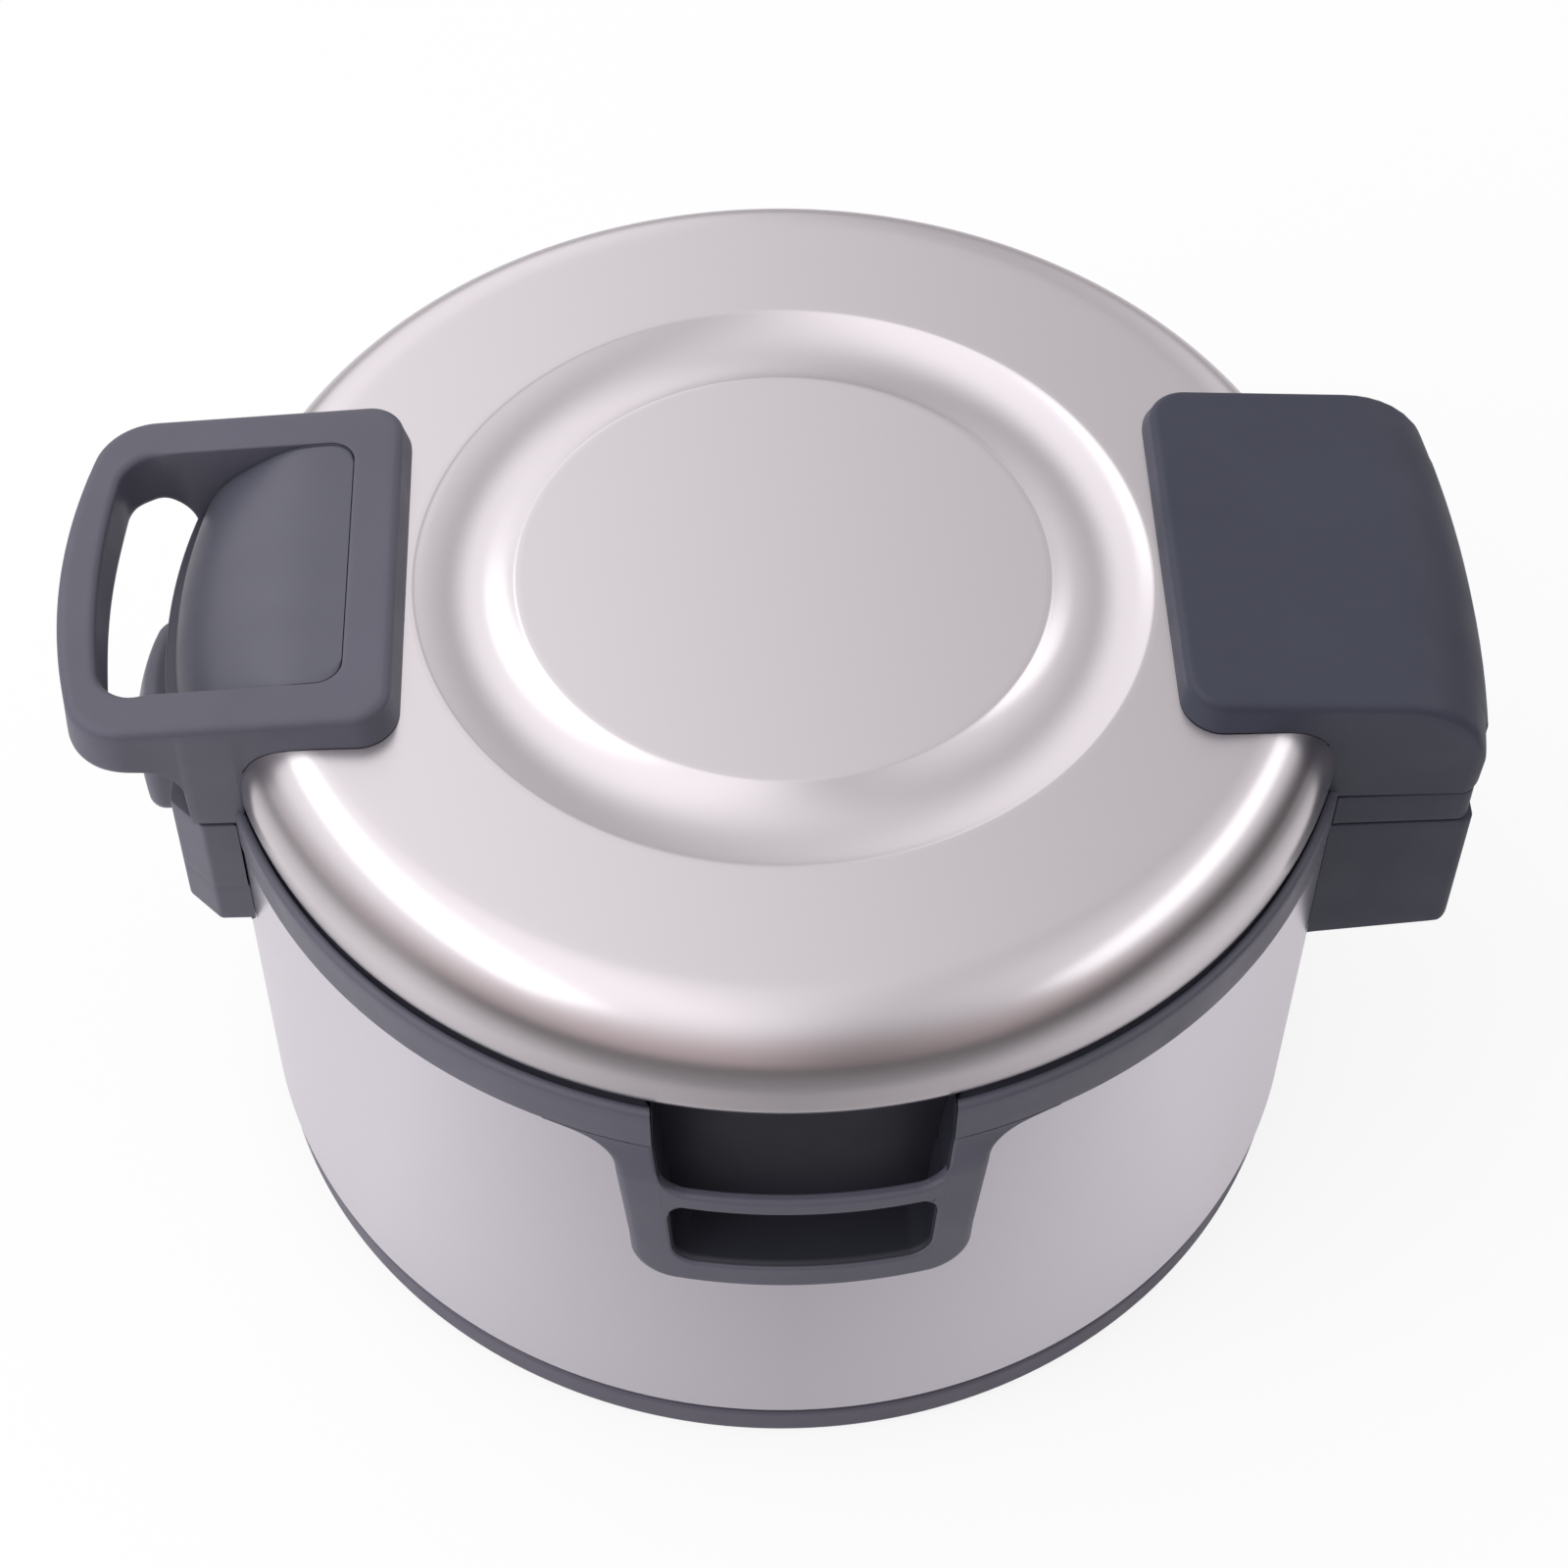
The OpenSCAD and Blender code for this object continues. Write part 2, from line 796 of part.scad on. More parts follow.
// Small panel low on the latch side, with a well for the rocker and a hole for the lens
module switch_panel() {
    well_half = rocker_half + 1.4;
    back_r = shell_r - switch_depth;
    color([0.14, 0.14, 0.15])
    front()
    difference() {
        union() {
            intersection() {
                ring(shell_r + seat, panel_r, 0, far);
                translate([0, 0, switch_z])
                rotate([90, 0, 90])
                linear_extrude(height = far)
                polygon(rounded([[-panel_half_y, -panel_half_z, 5], [panel_half_y, -panel_half_z, 5],
                    [panel_half_y, panel_half_z, 5], [-panel_half_y, panel_half_z, 5]]));
            }
            intersection() {
                ring(back_r, shell_r + 1, 0, far);
                box([0, -panel_half_y + 3 + seat, switch_z - panel_half_z + 3 + seat],
                    [far, panel_half_y - 3 - seat, switch_z + panel_half_z - 3 - seat]);
            }
        }
        box([back_r + 2, rocker_y0, switch_z - well_half], [far, rocker_y1, switch_z + well_half]);
        translate([rocker_x, (rocker_y0 + rocker_y1) / 2, switch_z])
        rotate([90, 0, 0])
        cylinder(r = rocker_axle_r + pin_fit, h = rocker_y1 - rocker_y0 + 3, center = true);
        translate([0, lens_y, switch_z])
        rotate([0, 90, 0])
        cylinder(r = lens_r + seat, h = far);
    }
}

// Rocker with two sloping faces and stub axles, resting with its upper half pressed
module power_rocker() {
    half_len = (rocker_y1 - rocker_y0) / 2;
    color([0.5, 0.06, 0.05])
    front()
    translate([rocker_x, (rocker_y0 + rocker_y1) / 2, switch_z])
    rotate([0, -rocker_tilt, 0])
    union() {
        across(half_len - play)
        polygon([[-3, -rocker_half], [8, -rocker_half], [6.6, 0], [8, rocker_half], [-3, rocker_half]]);
        rotate([90, 0, 0])
        cylinder(r = rocker_axle_r, h = 2 * half_len + 2.4, center = true);
    }
}

// Pilot lamp lens with a domed end
module pilot_lens() {
    color([0.9, 0.45, 0.1])
    front()
    translate([shell_r - 6, lens_y, switch_z])
    rotate([0, 90, 0])
    rotate_extrude()
    intersection() {
        union() {
            square([lens_r, 7.5]);
            translate([0, 4.5])
            circle(r = lens_r);
        }
        square([lens_r, 20]);
    }
}

// Outline of the latch block in plan, drawn on the +X side
module block_plan() {
    chamfer = 12;
    polygon(rounded([[pot_r, -block_half, 0], [block_face - chamfer, -block_half, 3],
        [block_face, -block_half + chamfer, 4], [block_face, block_half - chamfer, 4],
        [block_face - chamfer, block_half, 3], [pot_r, block_half, 0]]));
}

// Block on the body that carries the latch lever
module latch_block() {
    color([0.3, 0.3, 0.32])
    front()
    difference() {
        translate([0, 0, block_z0])
        linear_extrude(height = latch_block_h)
        block_plan();
        column(shell_r + seat, 0, far);
        column(collar_r + seat, shell_z1 - seat, far);
        box([shell_r + 1, -pocket_half, latch_z - 10], [far, pocket_half, far]);
        bar_y(latch_x, latch_z, latch_pin_r + pin_fit, pocket_half + 8);
    }
}

// Outer curve of the paddle in X and Z
module paddle_section() {
    reach = block_face + paddle_bulge;
    polygon(rounded([[pad_back, pad_z0, 1.5], [reach - 2, pad_z0, 7], [reach, pad_z0 + paddle_h * 0.3, 20],
        [reach - 8, block_z1, 5], [pad_back, block_z1, 1]]));
}

// Outline of the paddle in plan, bulging in the middle
module paddle_plan() {
    half = paddle_w / 2;
    reach = block_face + paddle_bulge;
    bulge_r = 76;
    intersection() {
        polygon(rounded([[pad_back - bite, -half, 0], [reach + bite, -half, 9],
            [reach + bite, half, 9], [pad_back - bite, half, 0]]));
        translate([reach - bulge_r, 0])
        circle(r = bulge_r);
    }
}

// Lever: press pad outside, boss on the pin, arm and hook reaching up into the lid's tongue
module latch_paddle() {
    color([0.28, 0.28, 0.3])
    front()
    difference() {
        union() {
            intersection() {
                across(far)
                paddle_section();
                linear_extrude(height = far)
                paddle_plan();
            }
            bar_y(latch_x, latch_z, latch_boss_r, lever_half);
            box([latch_x, -lever_half, latch_z - 3], [pad_back + bite, lever_half, latch_z + 3]);
            box([hook_tip + 1.4, -arm_half, latch_z], [hook_tip + 4, arm_half, hook_top]);
            box([hook_tip, -arm_half, hook_z], [hook_tip + 2, arm_half, hook_top]);
        }
        bar_y(latch_x, latch_z, latch_pin_r + pin_fit, far);
        bar_y(latch_x, latch_z, latch_pin_r + 2.2, 6);
        translate([0, -6, 0])
        box([shell_r, 0, latch_z - latch_boss_r - 1], [latch_x, 12, latch_z + latch_boss_r + 1]);
    }
}

module latch_pin() {
    color([0.7, 0.7, 0.7])
    front()
    bar_y(latch_x, latch_z, latch_pin_r, pocket_half + 7.5);
}

// Torsion coil round the latch pin, drawn as a plain sleeve
module latch_spring() {
    color([0.6, 0.6, 0.6])
    front()
    difference() {
        bar_y(latch_x, latch_z, latch_pin_r + 1.6, 5.5);
        bar_y(latch_x, latch_z, latch_pin_r + seat, far);
    }
}

// Pressed steel lid with a rounded shoulder and a ring groove
module lid_cover() {
    color([0.68, 0.68, 0.69])
    difference() {
        rotate_extrude()
        difference() {
            lid_half(0);
            lid_half(lid_sheet);
            translate([0, lid_z0 - far])
            square([far, far]);
        }
        lid_screws_at()
        column(screw_r + seat, lid_z0, far);
    }
}

module lid_screws_at() {
    for (side = [-1, 1])
        for (end = [-1, 1])
            translate([end * lid_screw_x, side * lid_screw_y, 0])
            children();
}

// Screws up through the lid sheet into the handle and the hinge cover
module lid_screws() {
    head_z = lid_z1 - lid_sheet - seat;
    color([0.6, 0.6, 0.6])
    lid_screws_at()
    union() {
        column(screw_head_r, head_z - 2, head_z);
        column(screw_r, head_z - 1, lid_z1 + 5.5);
    }
}

// Moulded ring that closes the lid underneath and shows as a thin line below the skirt
module lid_underframe() {
    bead_r = lid_r - lid_sheet - seat;
    bead_w = 8;
    bead_h = 5;
    color([0.42, 0.42, 0.44])
    rotate_extrude()
    union() {
        translate([under_r0, under_z0])
        square([under_r - under_r0, 2.1]);
        translate([under_r0, under_z0])
        square([under_r - 2.5 - under_r0, wall]);
        translate([bead_r - bead_w, under_z1 - bite])
        square([bead_w - lid_sheet, bead_h + 4]);
        translate([bead_r - bead_w, lid_z0 + 2])
        square([bead_w, bead_h]);
    }
}

module lid_heat_plate() {
    color([0.75, 0.75, 0.76])
    difference() {
        column(under_r0 + 7, plate_z0, plate_z0 + plate_t);
        column(stud_r + seat, 0, far);
    }
}

module lid_heater() {
    color([0.7, 0.55, 0.3])
    ring(0.2 * lid_r, under_r0 - 6, heat_z0, heat_z0 + heat_t);
}

module lid_insulation() {
    color([0.85, 0.8, 0.6])
    ring(14, under_r0 + 5, wool_z0, wool_z1);
}

// Dished plate that faces the rice
module inner_lid() {
    color([0.72, 0.72, 0.73])
    rotate_extrude()
    union() {
        translate([stud_r + seat, inner_lid_z0])
        square([gasket_r0 - 8 - stud_r, inner_lid_t]);
        translate([gasket_r0 - 9, inner_lid_z0])
        square([inner_lid_t, 3]);
        translate([gasket_r0 - 9, inner_lid_z0 + 1.5])
        square([9 - seat, inner_lid_t]);
    }
}

// Knob with a stud that holds the inner lid to the heat plate
module inner_lid_knob() {
    grips = 8;
    color([0.12, 0.12, 0.13])
    difference() {
        union() {
            column(knob_r, inner_lid_z0 - seat - 9, inner_lid_z0 - seat);
            column(stud_r, inner_lid_z0 - bite, plate_z0 + plate_t + 4);
            column(stud_r + 3, plate_z0 + plate_t + seat, plate_z0 + plate_t + 3);
            column(stud_r + 3, inner_lid_z0 + inner_lid_t + seat, plate_z0 - seat);
        }
        for (i = [0:grips - 1])
            rotate([0, 0, 360 * i / grips])
            translate([knob_r + 2, 0, 0])
            column(3.5, 0, inner_lid_z0 - seat - 3);
    }
}

// Silicone lip that seals the lid on the pot's rim
module lid_gasket() {
    color([0.85, 0.85, 0.83])
    rotate_extrude()
    difference() {
        translate([gasket_r0, gasket_z0])
        square([gasket_r1 - gasket_r0, under_z0 - gasket_z0 - seat]);
        translate([gasket_r0 + 4, gasket_z0 - bite])
        square([gasket_r1 - gasket_r0 - 6.5, 3]);
    }
}

// Outline of the lid handle in plan, drawn on the +X side, grown by g
module handle_plan(g) {
    big = 22;
    small = 14;
    bow = 220;
    half = handle_half + g;
    intersection() {
        polygon(rounded([[handle_inner - g, -half, small], [handle_reach + 4, -half, big + 4],
            [handle_reach + 4, half, big + 4], [handle_inner - g, half, small]]));
        translate([handle_reach - bow, 0])
        circle(r = bow);
    }
}

// Height of the handle's top plane at distance x
function handle_top(x) = handle_z - handle_slope * (x - handle_inner);

// Hand opening in plan
module handle_opening(g) {
    half = handle_half - handle_bar - g;
    x0 = handle_inner + panel_inset + g;
    x1 = handle_reach - grip_bar - g;
    polygon(rounded([[x0, -half, 9], [x1, -half, 14], [x1, half, 14], [x0, half, 9]]));
}

// Curve of the panel that rolls down from the handle's top into the tongue, grown by g downwards
function panel_curve(g) =
    let (
        x0 = handle_inner + panel_inset - 3,
        bend = handle_inner + panel_bend,
        low = lid_z1 - 24
    )
    rounded([[x0, 0, 0], [x0, handle_top(x0) - 0.8 - g, 0], [bend + 3 - g, handle_top(bend) - 0.8 - g, 16],
        [tongue_r - 4 - g, low - g, 6], [tongue_r - 4 - g, 0, 0]]);

// Grip frame, with the tongue that hangs down over the latch
module lid_handle() {
    under = handle_top(handle_reach) - grip_depth;
    color([0.33, 0.33, 0.35])
    front()
    difference() {
        union() {
            intersection() {
                linear_extrude(height = far)
                handle_plan(0);
                across(far)
                polygon(rounded([[handle_inner, shell_z0, 0], [handle_inner, handle_top(handle_inner), 2.5],
                    [handle_reach, handle_top(handle_reach), 5], [handle_reach, under, 6],
                    [tongue_r - 4, under + 1.5, 8], [tongue_r - 4, shell_z0, 0]]));
                box([0, -far, tongue_z0], [far, far, far]);
            }
            intersection() {
                ring(lid_r - 20, tongue_r, tongue_z0, under + 6);
                box([0, -tongue_half, 0], [far, tongue_half, far]);
            }
        }
        inside_lid();
        intersection() {
            linear_extrude(height = far)
            handle_opening(0);
            difference() {
                box([0, -far, 0], [far, far, far]);
                across(far)
                polygon(panel_curve(wall + seat));
                column(tongue_r - wall, 0, lid_z1 - panel_fall);
            }
        }
        box([lid_r - 4, -arm_half - arm_room, 0], [tongue_r - wall, arm_half + arm_room, hook_space_z1]);
        lid_screws_at()
        column(screw_r + pin_fit, 0, lid_z1 + 6);
    }
}

// Smooth inset panel that rolls down from the handle's top into the hand opening
module handle_panel() {
    color([0.3, 0.3, 0.32])
    front()
    difference() {
        intersection() {
            linear_extrude(height = far)
            handle_opening(seat);
            across(far)
            polygon(panel_curve(0));
            box([0, -far, lid_z1 - panel_fall + seat], [far, far, far]);
        }
        across(far)
        polygon(panel_curve(wall));
        inside_lid();
        column(tongue_r - wall + seat, 0, lid_z1 - panel_fall + seat);
    }
}

// Steel strip on the lid's skirt that the hook catches
module latch_keeper() {
    color([0.7, 0.7, 0.7])
    front()
    intersection() {
        union() {
            ring(lid_r + seat, lid_r + 1.7, under_z0 - 1.6, hook_space_z1 - seat);
            ring(lid_r + seat, keeper_r, under_z0 - 1.6, under_z0);
        }
        box([0, -arm_half + 1, 0], [far, arm_half - 1, far]);
    }
}

// Outline of the hinge cover in X and Z
module hinge_section() {
    drop = (hinge_reach - hinge_inner) * 0.052;
    polygon(rounded([[hinge_inner, shell_z0, 0], [hinge_inner, lid_z1 + hinge_rise, 2.5],
        [hinge_reach, lid_z1 + hinge_rise - drop, hinge_round], [hinge_reach, split_z, 0],
        [hinge_inner + 4, split_z, 0], [hinge_inner + 4, shell_z0, 0]]));
}

// Outline of the hinge cover in plan, with its back bowed
module hinge_plan() {
    steps = 8;
    flank = hinge_half - hinge_heel - 2;
    heel_end = hinge_reach - hinge_bow;
    polygon(rounded(concat(
        [[hinge_inner, -hinge_half, hinge_corner], [heel_end, -hinge_half, hinge_heel]],
        [for (i = [-steps:2:steps])
            let (y = flank * i / steps)
            [bow_x + sqrt(pow(bow_r, 2) - pow(y, 2)), y, 0]],
        [[heel_end, hinge_half, hinge_heel], [hinge_inner, hinge_half, hinge_corner]]
    )));
}

// Room below and behind the cheeks, so that they turn clear of the band
module heel_room() {
    across(far)
    polygon(concat(
        [for (i = [0:arc_steps])
            let (a = 90 * i / arc_steps)
            [pin_x + knuckle_r * sin(a), pin_z - knuckle_r * cos(a)]],
        [[far, pin_z], [far, 0], [pin_x, 0]]
    ));
}

// Cover over the lid hinge with a cheek at each end that turns on the pin
module hinge_cover() {
    color([0.33, 0.33, 0.35])
    difference() {
        intersection() {
            across(far)
            hinge_section();
            linear_extrude(height = far)
            hinge_plan();
            box([0, -far, split_z], [far, far, far]);
        }
        inside_lid();
        heel_room();
        box([pin_x - knuckle_r - play, -barrel_half - play, 0],
            [far, barrel_half + play, pin_z + knuckle_r + play]);
        bar_y(pin_x, pin_z, hinge_pin_r + pin_fit, hinge_half - 4);
        lid_screws_at()
        column(screw_r + pin_fit, 0, lid_z1 + 6);
    }
}

// Fixed band under the cover with the middle barrel of the hinge
module hinge_band() {
    half = hinge_half - 1;
    color([0.32, 0.32, 0.34])
    difference() {
        union() {
            translate([0, 0, band_z0])
            linear_extrude(height = band_z1 - band_z0)
            polygon(rounded([[pot_r, -half, 0], [band_x1, -half, 7], [band_x1, half, 7], [pot_r, half, 0]]));
            bar_y(pin_x, pin_z, barrel_r, barrel_half);
            box([pin_x - barrel_r, -barrel_half, band_z1 - bite], [pin_x + barrel_r - 2.6, barrel_half, pin_z]);
        }
        column(collar_r + seat, 0, far);
        bar_y(pin_x, pin_z, hinge_pin_r + pin_fit, far);
        for (side = [-1, 1])
            translate([0, side * barrel_half, 0])
            bar_y(pin_x, pin_z, hinge_pin_r + 2.6, spring_len + 0.5);
    }
}

// Block on the shell below the hinge band, open towards the shell
module hinge_block() {
    half = hinge_block_half;
    x1 = heel_x - 1;
    color([0.3, 0.3, 0.32])
    difference() {
        intersection() {
            across(far)
            polygon(rounded([[pot_r, hinge_block_z0 - 5, 0], [x1 - 1.5, hinge_block_z0 + 2.5, 5],
                [x1, hinge_block_z1, 0], [pot_r, hinge_block_z1, 0]]));
            linear_extrude(height = far)
            polygon(rounded([[pot_r, -half, 0], [x1, -half, 8], [x1, half, 8], [pot_r, half, 0]]));
        }
        column(shell_r + seat, 0, far);
        intersection() {
            box([shell_r - hinge_overhang, -half + wall, hinge_block_z0 + wall + 4],
                [x1 - wall - 2, half - wall, hinge_block_z1 - wall]);
            column(far, 0, far);
        }
        hinge_screws_at(screw_r + seat, heel_x - 8);
    }
}

// Screws from inside the shell into the hinge block's walls
module hinge_screws_at(r, reach) {
    for (side = [-1, 1])
        for (part = [0.29, 0.78])
            translate([0, side * (hinge_block_half - 2 * wall), hinge_block_z0 + part * hinge_block_h])
            rotate([0, 90, 0])
            cylinder(r = r, h = reach);
}

module hinge_screws() {
    color([0.6, 0.6, 0.6])
    intersection() {
        hinge_screws_at(screw_r, hinge_reach - 0.58 * hinge_overhang);
        box([shell_r - 0.53 * hinge_overhang, -far, 0], [far, far, far]);
    }
}

module hinge_pin() {
    color([0.7, 0.7, 0.7])
    bar_y(pin_x, pin_z, hinge_pin_r, hinge_half - 5);
}

// Torsion coils round the hinge pin, drawn as plain sleeves
module hinge_springs() {
    color([0.6, 0.6, 0.6])
    for (side = [-1, 1])
        translate([0, side * (barrel_half - spring_len / 2 - 0.25), 0])
        difference() {
            bar_y(pin_x, pin_z, hinge_pin_r + 2.2, spring_len / 2);
            bar_y(pin_x, pin_z, hinge_pin_r + seat, far);
        }
}

base_pan();
bottom_hatch();
feet();
outer_shell();
collar_ring();
carry_handle_near();
carry_handle_far();
carry_pocket_near();
carry_pocket_far();
heating_chamber();
inner_pot();
pot_floor();
side_heater();
base_heater();
thermostat();
thermal_fuse();
body_insulation();
terminal_block();
wire_loom();
power_inlet();
inlet_pins();
switch_panel();
power_rocker();
pilot_lens();
latch_block();
latch_paddle();
latch_pin();
latch_spring();
lid_cover();
lid_underframe();
lid_heat_plate();
lid_heater();
lid_insulation();
inner_lid();
inner_lid_knob();
lid_gasket();
lid_handle();
handle_panel();
latch_keeper();
lid_screws();
hinge_cover();
hinge_band();
hinge_block();
hinge_pin();
hinge_springs();
hatch_screws();
hinge_screws();
carry_screws();
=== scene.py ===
# %% [markdown]
# # An electric rice warmer, dressed in Blender
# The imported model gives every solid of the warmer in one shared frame: Z up, the table at zero,
# the lid hinge towards +X, the lid handle towards -X and the carry handles at -Y and +Y.
# This lesson keeps that frame as it is and gives the parts that the eye meets first a finer skin.
# The inner parts keep their solids and only get a finish of their own.

# %% Load the frame
import json
import math

import bmesh
import bpy
import numpy as np
from mathutils import Matrix, Vector


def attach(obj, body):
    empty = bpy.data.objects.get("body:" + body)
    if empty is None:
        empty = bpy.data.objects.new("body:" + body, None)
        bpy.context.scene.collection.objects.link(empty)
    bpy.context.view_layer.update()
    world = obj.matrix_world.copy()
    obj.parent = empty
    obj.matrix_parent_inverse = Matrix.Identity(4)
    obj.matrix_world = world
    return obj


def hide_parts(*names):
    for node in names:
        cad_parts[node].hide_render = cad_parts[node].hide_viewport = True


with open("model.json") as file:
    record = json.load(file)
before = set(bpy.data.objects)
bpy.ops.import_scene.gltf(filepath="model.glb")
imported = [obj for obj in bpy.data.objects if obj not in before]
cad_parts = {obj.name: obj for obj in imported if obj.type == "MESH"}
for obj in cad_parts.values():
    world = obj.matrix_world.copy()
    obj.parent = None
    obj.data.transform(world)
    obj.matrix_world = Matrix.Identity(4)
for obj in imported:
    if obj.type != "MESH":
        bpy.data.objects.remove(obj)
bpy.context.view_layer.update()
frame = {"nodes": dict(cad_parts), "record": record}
scene = bpy.context.scene
scene.view_settings.view_transform = "Standard"

# %% [markdown]
# ## The camera
# The photograph looks down on the lid from the front, a little over arm's length away.
# Its place was found by fitting the lid's two circles and the foot of the body to the picture,
# so the lens, the tilt and the small roll are measured values and not an artist's choice.

# %% Camera
pitch, yaw, roll = (math.radians(a) for a in (52.096, 2.45, 0.593))
ahead = Vector((math.sin(yaw) * math.cos(pitch), math.cos(yaw) * math.cos(pitch), -math.sin(pitch)))
right = Vector((math.cos(yaw), -math.sin(yaw), 0))
turn = Matrix((right, right.cross(ahead), -ahead)).transposed().to_4x4()
camera_data = bpy.data.cameras.new("camera")
camera_data.sensor_width = 36
camera_data.lens = 76.42
camera_data.shift_x = 0.00166
camera = bpy.data.objects.new("camera", camera_data)
camera.matrix_world = Matrix.Translation((-0.0329, -0.76995, 1.12356)) @ turn @ Matrix.Rotation(roll, 4, "Z")
scene.collection.objects.link(camera)
scene.camera = camera
print("camera at", [round(v, 3) for v in camera.matrix_world.translation])

# %% [markdown]
# ## Node helpers
# Every finish below is a small tree of nodes. Four short helpers keep those trees readable:
# one adds a node with its settings, one joins two sockets, one does sums, one starts a material.

# %% Node helpers
def add(tree, kind, **settings):
    """A node of that kind; a setting whose name is a socket's number, as s0, sets that input."""
    node = tree.nodes.new(kind)
    for name, value in settings.items():
        if name[0] == "s" and name[1:].isdigit():
            node.inputs[int(name[1:])].default_value = value
        else:
            setattr(node, name, value)
    return node


def join(tree, a, b):
    """Links an output socket to an input socket."""
    tree.links.new(a, b)


def math_node(tree, operation, a, b=None, c=None):
    """A Math node; each of a, b and c is a number or an output socket."""
    node = add(tree, "ShaderNodeMath", operation=operation)
    for socket, value in zip(node.inputs, (a, b, c)):
        if value is None:
            continue
        if isinstance(value, (int, float)):
            socket.default_value = value
        else:
            join(tree, value, socket)
    return node.outputs[0]


def blank_material(name):
    """A material with one Principled shader, joined to its output, and its node tree."""
    material = bpy.data.materials.new(name)
    material.use_nodes = True
    tree = material.node_tree
    return material, tree, tree.nodes["Principled BSDF"]

# %% [markdown]
# ## Floor and light
# A white sweep under and behind the object, as in a small product studio. The floor is white to the
# camera, with a part of its own shading left in so that the shadow stays; mirrored in the steel it is
# a pale floor with painted shade, darker near the object in front and far away, and painted light behind it.
# The room is soft: brighter on the left, darker low down on both sides and in front; the camera sees it white.
# Two long soft boxes hang left and right of the lid and give the shoulder its white bands.

# %% Floor
def white_floor():
    """Plain pale floor: mostly even white where it is seen, diffuse for all other light. The steel mirrors
    it half lit by itself; there painted light makes it bright behind and painted shade makes it fall off in front
    and far away."""
    material, tree, shader = blank_material("floor_white")
    # the third number is the strength of the floor's painted glow as the steel mirrors it
    seen_share, mirrored_share, painted_mirror_glow = 0.85, 0.55, 0.8
    path = add(tree, "ShaderNodeLightPath")
    mirrored = path.outputs["Is Glossy Ray"]
    part = add(tree, "ShaderNodeSeparateXYZ")
    place = add(tree, "ShaderNodeTexCoord").outputs["Object"]
    join(tree, place, part.inputs[0])
    sideways = math_node(tree, "ABSOLUTE", part.outputs[0])
    ahead_of = math_node(tree, "MULTIPLY_ADD", sideways, 0.5, part.outputs[1])
    # Painted shade and light for mirrored rays only: front darkens the floor in front of the object, far darkens
    # it away from the object, behind brightens it behind the object.
    front = add(tree, "ShaderNodeMapRange", s1=-0.42, s2=-0.03, s3=0.38, s4=1.0)
    join(tree, ahead_of, front.inputs[0])
    away = add(tree, "ShaderNodeVectorMath", operation="LENGTH")
    join(tree, place, away.inputs[0])
    behind = add(tree, "ShaderNodeMapRange", s1=0.10, s2=0.40, s3=1.0, s4=1.5)
    join(tree, part.outputs[1], behind.inputs[0])
    far = add(tree, "ShaderNodeMapRange", s1=0.3, s2=1.3, s3=0.95, s4=0.32)
    join(tree, away.outputs["Value"], far.inputs[0])
    # for mirrored rays the floor's colour is the painted falloff, painted shade in front and far away
    tone = add(tree, "ShaderNodeMix", data_type="FLOAT", s2=0.86)
    join(tree, mirrored, tone.inputs[0])
    fall = math_node(tree, "MULTIPLY", front.outputs[0], far.outputs[0])
    join(tree, fall, tone.inputs[3])
    join(tree, tone.outputs[0], shader.inputs["Base Color"])
    shader.inputs["Roughness"].default_value = 0.9
    shader.inputs["Specular IOR Level"].default_value = 0.0
    # The mirrored glow carries painted light behind and painted shade in front; its faint pink hue is a painted
    # tint of the reflection.
    bright = add(tree, "ShaderNodeMix", data_type="FLOAT", s2=1.0)
    join(tree, mirrored, bright.inputs[0])
    lit = math_node(tree, "MULTIPLY", fall, behind.outputs[0])
    join(tree, math_node(tree, "MULTIPLY", lit, painted_mirror_glow), bright.inputs[3])
    glow = add(tree, "ShaderNodeEmission")
    hue = add(tree, "ShaderNodeMix", data_type="RGBA", s6=(1, 1, 1, 1), s7=(1.0, 0.95, 0.98, 1))
    join(tree, mirrored, hue.inputs[0])
    join(tree, hue.outputs[2], glow.inputs[0])
    join(tree, bright.outputs[0], glow.inputs[1])
    seen = math_node(tree, "MAXIMUM", path.outputs["Is Camera Ray"], path.outputs["Is Transmission Ray"])
    share = math_node(tree, "MAXIMUM", math_node(tree, "MULTIPLY", seen, seen_share),
                      math_node(tree, "MULTIPLY", mirrored, mirrored_share))
    mix = add(tree, "ShaderNodeMixShader")
    join(tree, share, mix.inputs[0])
    join(tree, shader.outputs[0], mix.inputs[1])
    join(tree, glow.outputs[0], mix.inputs[2])
    join(tree, mix.outputs[0], tree.nodes["Material Output"].inputs[0])
    return material


floor_r, floor_sides = 6.0, 96
turns = np.linspace(0, 2 * np.pi, floor_sides, endpoint=False)
floor_mesh = bpy.data.meshes.new("floor")
floor_ring = floor_r * np.stack([np.cos(turns), np.sin(turns), 0 * turns], -1)
floor_mesh.from_pydata(floor_ring.tolist(), [], [list(range(floor_sides))])
floor = bpy.data.objects.new("floor", floor_mesh)
floor_mesh.materials.append(white_floor())
scene.collection.objects.link(floor)
print("floor: disc", 2 * floor_r, "m across")

# %% Studio room and soft boxes
world = bpy.data.worlds.new("studio")
scene.world = world
world.use_nodes = True
sky = world.node_tree
way = add(sky, "ShaderNodeSeparateXYZ")
join(sky, add(sky, "ShaderNodeTexCoord").outputs["Generated"], way.inputs[0])
side_way, back_way, up_way = way.outputs[:]


def ramp(value, low, high, start, stop):
    """Smooth step of a socket: start at low, stop at high."""
    node = add(sky, "ShaderNodeMapRange", interpolation_type="SMOOTHSTEP", s1=low, s2=high, s3=start, s4=stop)
    join(sky, value, node.inputs[0])
    return node.outputs[0]


